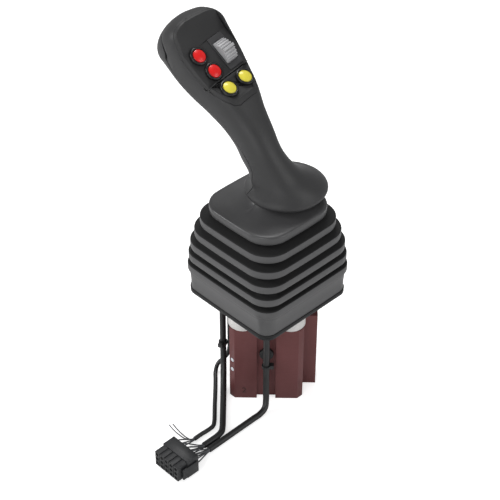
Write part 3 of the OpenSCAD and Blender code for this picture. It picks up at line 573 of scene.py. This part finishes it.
# %% [markdown]
# ## Grip
# The grip is two nylon shells on a steel core: a front shell with the button faces and a slimmer rear
# shell with the enable paddle. Its form leans back, narrows to a waist and flares into a palm rest, so
# it is described by sections from the foot to the top of the hood. A smooth curve through the sections
# gives the finer rings between them. The shells are then skinned apart, which leaves their parting line.

# %% Sections of the grip
# x, y, z, lean, half width, depth to the front, depth to the rear, squareness
SECTIONS = [
    (17, -4, 197.5, 0, 33, 32, 33, 2), (17, -4, 200.5, 0, 34.5, 33.5, 34.5, 2),
    (16, -4, 204.5, 2, 31.5, 31.5, 31, 2), (12, -4, 210, 5, 26, 27, 25, 2), (7, -1, 216.5, 10, 21, 22, 20, 2),
    (3, 3, 225, 18, 17, 19, 16.5, 2.1), (0, 9, 235, 27, 15.5, 18, 15, 2.2), (0, 17, 247, 37, 16, 17, 15, 2.3),
    (0, 28, 259, 44, 18, 17, 15.5, 2.5), (0, 41, 270, 48, 22, 20, 15.5, 2.8),
    (-0.5, 55, 278.5, 51, 25.5, 21.5, 14.5, 3.4), (-0.5, 69, 287.5, 51, 28.5, 22, 13.5, 4),
    (-0.5, 84, 299, 51, 29, 24, 15.5, 4.4), (-0.5, 91.5, 304.8, 51, 28.5, 27, 17.5, 4.2),
    (0.5, 97, 309.1, 51, 26.5, 25, 15, 3.6), (2.5, 101.2, 312.4, 51, 23, 19.5, 10.5, 3.2),
    (5.5, 104.8, 315.2, 51, 17, 13, 6, 2.8), (7.5, 106.8, 316.8, 51, 9, 6, 3.5, 2.4),
    (8, 107.4, 317.3, 51, 3.4, 3.2, 3.2, 2)]
# Angle of the left parting line at each section, 180 being the grip's left side
PARTING = [157, 157, 157, 158, 161, 177, 182, 173, 166, 164, 167, 173, 180, 182, 183, 184, 184, 184, 184]
# Rings made for each section, the rear's highest squareness, and the joint's width in degrees
FINER = 4
REAR_SQUARE = 2.7
PARTING_GAP = 0.9
# Points round the whole grip, and the thickness of its shells
WHOLE_STEPS = 88
SHELL_WALL = 2.6


def finer_sections():
    """Sections on a smooth curve through the given ones."""
    given = np.array([section + (angle,) for section, angle in zip(SECTIONS, PARTING)], float)
    made = []
    for i in range(len(given) - 1):
        p0, p1, p2, p3 = (given[min(max(i + k, 0), len(given) - 1)] for k in (-1, 0, 1, 2))
        for k in range(FINER):
            t = k / FINER
            made.append(0.5 * (2 * p1 + (p2 - p0) * t + (2 * p0 - 5 * p1 + 4 * p2 - p3) * t * t
                               + (3 * p1 - p0 - 3 * p2 + p3) * t ** 3))
    return made + [given[-1]]


FINE_SECTIONS = finer_sections()


def power(value, k):
    """Signed power that squares a circle's sine or cosine to squareness k."""
    return (1 if value >= 0 else -1) * abs(value) ** (2 / k)


def grip_point(section, degrees, inwards=0.0):
    """Point on the grip's skin: 270 degrees faces the operator, 0 is to the right."""
    x, y, z, lean, half, front, rear, square = section[:8]
    c, s = cos(radians(degrees)), sin(radians(degrees))
    k = square if s < 0 else min(square, REAR_SQUARE)
    across = (half - inwards) * power(c, k)
    out = (front - inwards) * power(-s, k) if s < 0 else -(rear - inwards) * power(s, k)
    a = radians(lean)
    return (x + across, y - out * cos(a), z + out * sin(a))


def grip_skin(name, side, steps, wall):
    """A closed wall of the grip in front of its parting lines, or behind them."""
    rings = []
    for section in FINE_SECTIONS:
        part = section[8]
        if side == "front":
            start, end = part, 540 - part
        else:
            start, end = 180 - part + PARTING_GAP, part - PARTING_GAP
        turns = [start + (end - start) * k / steps for k in range(steps + 1)]
        depth = min(wall, 0.7 * min(section[4:7]))
        outer = [grip_point(section, t) for t in turns]
        inner = [grip_point(section, t, depth) for t in reversed(turns)]
        rings.append(outer + inner)
    return ringed(name, rings)


def grip_whole(name):
    """The grip as one closed solid, to shape the panels by."""
    turns = [360 * k / WHOLE_STEPS for k in range(WHOLE_STEPS)]
    return ringed(name, [[grip_point(section, t) for t in turns] for section in FINE_SECTIONS])

# %% [markdown]
# ## Frames of the button faces
# The buttons sit on two flat faces that lean back by different angles and are turned eight degrees
# about their own normals. A matrix for each face lets its pieces be modelled flat: x across, y up the
# face and z out of it. The face's edge profile is an outline in y and z.

# %% Face frames and cutters
def frame_at(place, lean, twist=0.0):
    """A face's matrix: leant about x, then turned about its own normal, in degrees."""
    turn = Matrix.Rotation(radians(lean), 4, "X") @ Matrix.Rotation(radians(twist), 4, "Z")
    return Matrix.Translation(place) @ turn


FACE_TWIST = 8
UPPER_FACE = frame_at((-2, 58.2, 301.7), 90 - 50.6, FACE_TWIST)
LOWER_FACE = frame_at((0.7, 36.7, 287), 90 - 63.4, FACE_TWIST)
REAR_FACE = frame_at((-1, 96.4, 288.4), -90 - 63)
# Turns an outline drawn in x and y so that it lies along the face and is extruded across it
ACROSS = Matrix(((0, 0, 1, 0), (1, 0, 0, 0), (0, 1, 0, 0), (0, 0, 0, 1)))
PANEL_T = 3
PANEL_HALF = 27
HOOD_Y = 15.5
STEP_Y = -16.5
HOOD_LEAN = radians(16)
HOOD_LEN = 30


def face_slab(name, low, high, half):
    """A slab across the upper face and its hood, between two depths."""
    y, z = HOOD_Y + HOOD_LEN * cos(HOOD_LEAN), HOOD_LEN * sin(HOOD_LEAN)
    outline = [(STEP_Y, low), (HOOD_Y, low), (y, low + z),
               (y, high + z), (HOOD_Y, high), (STEP_Y, high)]
    return prism(name, outline, -half, half, UPPER_FACE @ ACROSS)


def lower_outline(gap):
    """Outline of the lower face, narrower towards the waist."""
    top, foot, half, shift = 9, -15.5, 14, -2
    return [(-PANEL_HALF + gap, top - gap), (PANEL_HALF - gap, top - gap),
            (shift + half - gap, foot + 3 + gap), (shift + half - 4, foot + gap),
            (shift - half + 4, foot + gap), (shift - half + gap, foot + 3 + gap)]

# %% [markdown]
# ## The two shells
# The front shell is cut for the two panels and for the wells under the buttons and the wheel. The rear
# shell is cut for the paddle. Cutting with exact booleans keeps the crisp edges that a sculpted form
# would lose.

# %% Shells
WELL_FLOOR = -10.6
SHELL_EASE = 0.4
front = grip_skin("front_grip_shell", "front", 60, SHELL_WALL)
cut(front, face_slab("upper_cutter", -PANEL_T, 45, PANEL_HALF))
cut(front, prism("lower_cutter", lower_outline(0), -PANEL_T, 42, LOWER_FACE))
cut(front, prism("wheel_well", box_outline(0, 0.1, 21, 16.5), WELL_FLOOR, 34, UPPER_FACE))
cut(front, prism("button_well", box_outline(0, 0, 17.9, 8.3), WELL_FLOOR, 34, LOWER_FACE))
round_edges(front, SHELL_EASE, 40, clamp=False)
settle(front, "lever", "grip_plastic", grip_nylon, "front_shell")

# The paddle tapers from its pivot to its free end
PADDLE_WIDE = 32
PADDLE_TIP = 21
PADDLE_LONG = 66
PADDLE_GAP = 0.6


def paddle_outline(gap):
    """The paddle's tapered outline, wider by a gap all round."""
    wide, tip, end = PADDLE_WIDE / 2 + gap, PADDLE_TIP / 2 + gap, PADDLE_LONG + gap
    return [(-wide, -gap), (wide, -gap), (tip, end), (-tip, end)]


rear = grip_skin("rear_grip_shell", "rear", 40, SHELL_WALL)
cut(rear, prism("paddle_cutter", paddle_outline(PADDLE_GAP), -14, 16, REAR_FACE))
round_edges(rear, SHELL_EASE, 40, clamp=False)
settle(rear, "lever", "rear_plastic", rear_nylon, "rear_shell")
print("shells:", len(front.data.polygons), len(rear.data.polygons))

# %% [markdown]
# ## Face panels
# Both panels are cut from the whole grip, so that their rims follow its surface. The upper one carries
# the red buttons, the wheel's opening and the hood beyond a bend. The lower one has a raised lip round
# its foot.

# %% Panels
RED_PLACES = [(-12.2, 8.3), (-9.8, -8.2)]
YELLOW_PLACES = [(-9.6, 0), (9.6, 0)]
WHEEL_X, WHEEL_Y = 12.2, 0.2
# Fit of a panel in its shell, the holes under the bezels, and a cutter's reach through a panel
PANEL_FIT = 0.15
BEZEL_HOLE = 6.65
BEZEL_SEAT = 7.9
THROUGH = 12
PANEL_EASE = 0.35
LIP_WIDE = 2.2
LIP_HIGH = 1.2


def round_cutters(name, places, radius, low, high, face):
    """Round cutters at some places on a face."""
    made = []
    for k, (x, y) in enumerate(places):
        piece = ringed(name + str(k), circle_rings([(radius, low), (radius, high)], 48, (x, y)))
        set_in(piece, face)
        made.append(piece)
    return made


upper_panel = grip_whole("upper_face_panel")
cut(upper_panel, face_slab("panel_slab", -PANEL_T, 0, PANEL_HALF - PANEL_FIT), "INTERSECT")
for tool in round_cutters("red_hole", RED_PLACES, BEZEL_HOLE, -THROUGH, THROUGH, UPPER_FACE):
    cut(upper_panel, tool)
wheel_hole = box_outline(WHEEL_X, WHEEL_Y, 8.05, 15.05)
cut(upper_panel, prism("wheel_hole", wheel_hole, -THROUGH, THROUGH, UPPER_FACE))
round_edges(upper_panel, PANEL_EASE, 30, clamp=False)
settle(upper_panel, "lever", "panel_plastic", panel_nylon, "upper_panel")

lower_panel = grip_whole("lower_face_panel")
slab = prism("lower_slab", lower_outline(PANEL_FIT), -PANEL_T, LIP_HIGH, LOWER_FACE)
cut(lower_panel, slab, "INTERSECT")
# The floor inside the lip, which stays open towards the upper panel
inner = [(x, y + LIP_WIDE) for x, y in lower_outline(LIP_WIDE)]
inner[0], inner[1] = (inner[0][0] - 3, 12), (inner[1][0] + 3, 12)
cut(lower_panel, prism("lip_floor", inner, 0, 20, LOWER_FACE))
for tool in (round_cutters("yellow_hole", YELLOW_PLACES, BEZEL_HOLE, -THROUGH, THROUGH, LOWER_FACE)
             + round_cutters("yellow_seat", YELLOW_PLACES, BEZEL_SEAT, 0, THROUGH, LOWER_FACE)):
    cut(lower_panel, tool)
cut(lower_panel, face_slab("step_cutter", -PANEL_T - 8, 45, PANEL_HALF + 5))
round_edges(lower_panel, PANEL_EASE, 30, clamp=False)
settle(lower_panel, "lever", "panel_plastic", panel_nylon, "lower_panel")
print("panels:", len(upper_panel.data.polygons), len(lower_panel.data.polygons))

# %% [markdown]
# ## Buttons and bezels
# Each button is a shallow dome of translucent-looking acrylic in a gloss black ring. A sphere cut off
# would be too round, so a turned profile gives the flat dome and its small edge radius.

# %% Buttons
def turned(name, profile, face, centre, around=64):
    """A turned piece on a face, its profile as radius and height."""
    piece = ringed(name, circle_rings(profile, around, centre))
    set_in(piece, face)
    pick(piece)
    bpy.ops.object.shade_smooth_by_angle(angle=radians(40))
    return piece


# The cap's radius, the height of its edge and the edge's rounding, the dome's top and its sphere
CAP_R = 5.5
CAP_EDGE_Z = 1.9
CAP_EDGE_R = 0.5
CAP_TOP_Z = 3.6
DOME_R = 11
dome = [(2, -8), (2, -3.4), (CAP_R, -3.4), (CAP_R, CAP_EDGE_Z)]
dome += [(CAP_R - CAP_EDGE_R * (1 - cos(a)), CAP_EDGE_Z + CAP_EDGE_R * sin(a)) for a in (0.5, 1.0)]
dome += [(DOME_R * sin(a), CAP_TOP_Z - DOME_R * (1 - cos(a))) for a in (0.44, 0.36, 0.28, 0.2, 0.12, 0.05)]
ring = [(5.8, -6), (6.6, -6), (6.6, 0.0), (7.7, 0.0), (7.7, 1.7), (7.6, 2.0), (7.35, 2.3),
        (7.0, 2.5), (6.5, 2.6), (6.15, 2.55), (5.9, 2.3), (5.8, 1.9), (5.8, -6)]
# Node, face, place, material and slot of each button
BUTTONS = [("button_red_upper", UPPER_FACE, RED_PLACES[0], red_cap, "button_red"),
           ("button_red_lower", UPPER_FACE, RED_PLACES[1], red_cap, "button_red"),
           ("button_yellow_left", LOWER_FACE, YELLOW_PLACES[0], yellow_cap, "button_yellow"),
           ("button_yellow_right", LOWER_FACE, YELLOW_PLACES[1], yellow_cap, "button_yellow")]
bezels = []
for node, face, place, material, slot in BUTTONS:
    cap = turned(node + "_cap", dome, face, place)
    settle(cap, body_of(NODES[node])[0], slot, material, node)
    bezel = ringed(node + "_bezel", circle_rings(ring, 64, place), cap_start=False, cap_end=False)
    set_in(bezel, face)
    pick(bezel)
    edit(bpy.ops.mesh.remove_doubles, threshold=1e-5)
    edit(bpy.ops.mesh.normals_make_consistent, inside=False)
    bpy.ops.object.shade_smooth_by_angle(angle=radians(40))
    bezels.append(bezel)
pick(*bezels)
bpy.ops.object.join()
bezel_set = bpy.context.object
bezel_set.name = "bezel_rings"
settle(bezel_set, "lever", "bezel_black", bezel_nylon, "button_bezels")

# %% [markdown]
# ## Thumb wheel
# A grey wheel with fine ribs all round and one raised bar stands in a narrow frame. One rib outline is
# repeated about the axle and extruded, and its corners are eased so that each rib catches a thin light.

# %% Thumb wheel and its frame
RIBS = 26
RIB_ROOT = 10.1
# Radius and half width in degrees of a rib, and of the raised bar
RIB = (11, 3.0)
BAR = (12.4, 5.4)
RIB_FLANK = 1.2


def wheel_outline():
    """The ribs round the wheel, of which the first is the raised bar."""
    points = []
    for i in range(RIBS):
        crest, half = RIB if i else BAR
        middle = 180 + 360 * i / RIBS
        for radius, turn in ((RIB_ROOT, -half - RIB_FLANK), (crest, -half), (crest, half),
                             (RIB_ROOT, half + RIB_FLANK)):
            a = radians(middle + turn)
            points.append((radius * cos(a), radius * sin(a)))
    return points


AXLE_DEPTH = -5.5
AXLE = (UPPER_FACE @ Matrix.Translation((WHEEL_X, WHEEL_Y, AXLE_DEPTH))
        @ Matrix.Rotation(radians(90), 4, "Y"))
wheel = ringed("ribbed_thumb_wheel", [[(x, y, z) for x, y in wheel_outline()] for z in (-6, 6)])
modify(wheel, "BEVEL", width=0.2 * MM, segments=2, limit_method="ANGLE", angle_limit=radians(30))
axle = ringed("wheel_axle", circle_rings([(1.8, -8), (1.8, 8)], 24))
pick(axle, wheel)
bpy.ops.object.join()
set_in(wheel, AXLE)
bpy.ops.object.shade_smooth_by_angle(angle=radians(30))
settle(wheel, "thumb_wheel", "wheel_grey", wheel_nylon, "thumb_wheel")

# The frame's slot shows only the wheel's crown, and its pocket below clears the whole wheel
frame_box = box_outline(WHEEL_X, WHEEL_Y, 7.95, 14.95)
slot_box = box_outline(WHEEL_X, WHEEL_Y, 6.3, 9.9)
pocket_box = box_outline(WHEEL_X, WHEEL_Y, 6.3, 12.9)
wheel_frame = prism("wheel_frame", frame_box, -9.4, 0.35, UPPER_FACE)
cut(wheel_frame, prism("wheel_slot", slot_box, -THROUGH, 3, UPPER_FACE))
cut(wheel_frame, prism("wheel_pocket", pocket_box, -THROUGH, -0.9, UPPER_FACE))
round_edges(wheel_frame, 0.3)
settle(wheel_frame, "lever", "rear_plastic", frame_nylon, "wheel_housing")

# %% [markdown]
# ## Enable paddle
# The paddle is a lever that the fingers squeeze. It stands proud of the rear shell and grows thicker
# towards its free end, so a side profile is extruded across it and then trimmed to its tapered outline.

# %% Paddle
# Distance from the pivot and height over the rear face
side_profile = [(0, -2.6), (0, -0.4), (4, 1.6), (14, 3.2), (30, 5), (48, 6), (60, 5.8), (65, 4),
                (PADDLE_LONG, 1.5), (PADDLE_LONG, -3)]
paddle = prism("enable_paddle_plate", side_profile, -17, 17, REAR_FACE @ ACROSS)
cut(paddle, prism("paddle_trim", paddle_outline(0), -12, 12, REAR_FACE), "INTERSECT")
round_edges(paddle, 1.2, 30, 3, clamp=False)
settle(paddle, "enable_paddle", "rear_plastic", rear_nylon, "enable_paddle")
print("controls done")

# %% [markdown]
# ## Valve block, guides and flange
# The block is a sawn and anodised bar with four lobes, and each lobe face has a numeral. White guides
# stand on it and carry the flange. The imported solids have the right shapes, so copies of them are
# merged into clean faces and only their edges are eased, which is what makes metal look machined.

# %% Block and hardware
eased_copy("valve_block", "machined_valve_block", 0.7, anodised, "block_red")
eased_copy("plunger_guides", "turned_guides", 0.5, acetal, "guide_white")
eased_copy("flange_plate", "mounting_plate", 0.4, zinc, "flange_black")
eased_copy("tie_mounts", "tie_bases", 0.3, tie_nylon, "tie_nylon")
eased_copy("cable_ties", "strap_ties", 0.25, tie_nylon, "tie_nylon")
eased_copy("cable_glands", "cable_bushes", 0.4, cable_jacket, "seal_black")
eased_copy("ball_plugs", "pressed_balls", 0.6, ball_steel, "ball_steel")

NUMERAL_SIZE = 8.5
NUMERAL_RISE = 0.12
NUMERAL_Z = 6.5
FACE_AT = 31.8
LOBE_MIDDLE = 19.2


def numeral(sign, place, turn):
    """A thin raised figure on a lobe's flat face."""
    bpy.ops.object.text_add(location=(0, 0, 0))
    figure = bpy.context.object
    figure.data.body = sign
    figure.data.size = NUMERAL_SIZE * MM
    figure.data.align_x = "CENTER"
    figure.data.extrude = NUMERAL_RISE * MM
    bpy.ops.object.convert(target="MESH")
    figure.name = "numeral_" + sign
    upright = Matrix.Rotation(turn, 4, "Z") @ Matrix.Rotation(radians(90), 4, "X")
    figure.data.transform(Matrix.Translation(Vector(place) * MM) @ upright)
    settle(figure, "base", "block_red", ink)


for k, sign in enumerate("2341"):
    turn = radians(-45 - 90 * k)
    across = -LOBE_MIDDLE if k == 0 else LOBE_MIDDLE
    spot = Matrix.Rotation(turn, 3, "Z") @ Vector((across, -FACE_AT, NUMERAL_Z))
    numeral(sign, spot, turn)

# %% [markdown]
# ## Connector
# Fifteen thin wires fan out into a block-shaped socket of glass-filled nylon, whose front is split into
# fifteen small square towers. Two spare wires curl away bare. Each wire is one short curve, joined into
# one mesh when it has its thickness.

# %% Wires and connector
# Middle of the socket's back, its wires' spacing across and upwards, and its lowest row
SOCKET_X, SOCKET_Y = -122.5, -29.5
COLUMN_PITCH = 5.7
ROW_PITCH = 5.1
LOWEST_ROW_Z = 4.8
CORE_RADIUS = 0.6
SPARE_RADIUS = 0.5
# A wire leaves and arrives straight for this far
STRAIGHT = Vector((2, 0, 0))


def wire(points, radius=CORE_RADIUS):
    """A smooth thin tube through points in millimetres, as a mesh."""
    pick(tube("wire", points, radius, around=3, along=5))
    bpy.ops.object.convert(target="MESH")
    return bpy.context.object


wires = []
for column in range(5):
    # Two columns for each round cable and one for the thin lead
    end = Vector((MAIN_ROUTE, SIDE_ROUTE, LEAD_ROUTE)[column // 2][-1])
    fan = 0 if column == 4 else column % 2 - 0.5
    for row in range(3):
        leaving = end + Vector((0, 1.8 * fan, 1.2 * (row - 1)))
        arriving = Vector((SOCKET_X, SOCKET_Y + (column - 2) * COLUMN_PITCH,
                           LOWEST_ROW_Z + ROW_PITCH * row))
        wires.append(wire([leaving, leaving - STRAIGHT, arriving + STRAIGHT, arriving]))
for lift in (0, 1):
    leaving = Vector(LEAD_ROUTE[-1]) + Vector((0, 0.7 * lift - 0.3, 0.7 * lift - 0.6))
    steps = ((-1.5, 0.1, 0), (-3.5 - 2 * lift, 4, 0.4), (-4.2 - 2.8 * lift, 11, 1),
             (-3.8 - 3.2 * lift, 18, 1.6), (-2.8 - 3.4 * lift, 25, 2.4))
    wires.append(wire([leaving] + [leaving + Vector(step) for step in steps], SPARE_RADIUS))
pick(*wires)
bpy.ops.object.join()
wire_fan = bpy.context.object
wire_fan.name = "wire_fan"
bpy.ops.object.shade_smooth_by_angle(angle=radians(50))
settle(wire_fan, "base", "core_wire", wire_pvc, "core_wires")
housing = eased_copy("connector_housing", "socket_housing", 0.25, connector_nylon, "connector_nylon")
latches = eased_copy("connector_latches", "socket_latches", 0.25, connector_nylon, "connector_nylon")
for cable, route, diameter in CABLES:
    [c * MM for c in route[0]]
    run_length(route) * MM

# %% [markdown]
# ## Finishes of the carried-over nodes
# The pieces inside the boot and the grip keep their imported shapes. Each one gets the finish of its real
# material, because they show when a shell is taken off.

# %% Finishes of nodes
CARRIED = {
    "wiper_seals": seal_rubber, "flange_screws": bright_zinc, "lower_yoke": forged, "yoke_screws": bright_zinc,
    "joint_cross": ground, "upper_yoke": forged, "actuator_plate": forged, "plate_nut": bright_zinc,
    "lever_rod": ground, "plunger_1": ground, "plunger_2": ground, "plunger_3": ground, "plunger_4": ground,
    "boot_collar": rubber, "grip_core": panel_nylon, "shell_screws": bright_zinc, "circuit_board": board_epoxy,
    "switch_modules": switch_nylon, "paddle_pin": ground, "connector_contacts": brass}
for node, material in CARRIED.items():
    slots = NODES[node].material_slots
    if not slots:
        NODES[node].data.materials.append(material)
    for slot in slots:
        slot.material = material
shown = [n for n, o in NODES.items() if not o.hide_render]
print("carried over:", sorted(set(shown) - set(CARRIED)))

# %% [markdown]
# ## Studio
# A pale floor, a soft world and four soft lamps. The strongest stands behind and to the left, so that
# the pleats' upper edges and the dished top catch it. The backdrop is white only for camera and
# transmission rays, so that it adds no light to the object.

# %% Floor, world and lamps
# Glow of the floor towards the camera, and the world's strength as light and as backdrop
FLOOR_GLOW = 0.62
AIR_LIGHT = 0.3
BACKDROP = 1.0
bpy.ops.mesh.primitive_plane_add(size=12, location=(0, 0, 0))
floor = bpy.context.object
floor.name = "studio_floor"
bpy.ops.object.mode_set(mode="EDIT")
bpy.ops.mesh.subdivide(number_cuts=3)
bpy.ops.object.mode_set(mode="OBJECT")
paper = bpy.data.materials.new("floor_paper")
paper.use_nodes = True
tree = paper.node_tree
tree.nodes.clear()
path = add_node(tree, "ShaderNodeLightPath")
matt = add_node(tree, "ShaderNodeBsdfDiffuse", None, {"Color": linear("#f7f7f7")})
lift = add_node(tree, "ShaderNodeMath", {"operation": "MULTIPLY"},
                {0: path.outputs["Is Camera Ray"], 1: FLOOR_GLOW})
glow = add_node(tree, "ShaderNodeEmission", None, {"Strength": lift.outputs[0]})
both = add_node(tree, "ShaderNodeAddShader", None, {0: matt.outputs[0], 1: glow.outputs[0]})
add_node(tree, "ShaderNodeOutputMaterial", None, {"Surface": both.outputs[0]})
floor.data.materials.append(paper)

world = bpy.data.worlds.new("studio_air")
bpy.context.scene.world = world
world.use_nodes = True
tree = world.node_tree
tree.nodes.clear()
path = add_node(tree, "ShaderNodeLightPath")
seen = add_node(tree, "ShaderNodeMath", {"operation": "MAXIMUM"},
                {0: path.outputs["Is Camera Ray"], 1: path.outputs["Is Transmission Ray"]})
plain = add_node(tree, "ShaderNodeBackground", None,
                 {"Color": linear("#ffffff"), "Strength": AIR_LIGHT})
bright = add_node(tree, "ShaderNodeBackground", None,
                  {"Color": linear("#ffffff"), "Strength": BACKDROP})
mixed = add_node(tree, "ShaderNodeMixShader", None,
                 {0: seen.outputs[0], 1: plain.outputs[0], 2: bright.outputs[0]})
add_node(tree, "ShaderNodeOutputWorld", None, {"Surface": mixed.outputs[0]})


def lamp(name, place, aim, size, power):
    """A square soft lamp aimed at a point."""
    bpy.ops.object.light_add(type="AREA", location=place)
    light = bpy.context.object
    light.name = name
    light.data.size = size
    light.data.energy = power
    light.rotation_euler = (Vector(aim) - Vector(place)).to_track_quat("-Z", "Y").to_euler()


lamp("window_back_left", (-1.15, 1.05, 1.05), (0, 0, 0.15), 0.5, 10)
lamp("roof_back", (0.45, 0.6, 1.35), (0, 0, 0.2), 0.45, 7)
lamp("front_left", (-1.3, -0.5, 0.9), (0, 0, 0.12), 0.9, 7)
lamp("front_right", (0.5, -1.5, 0.8), (0, 0, 0.12), 0.9, 6)

# %% [markdown]
# ## Last lines
# The view transform is the plain one.

# %% View transform
bpy.context.scene.view_settings.view_transform = "Standard"
bpy.context.view_layer.update()
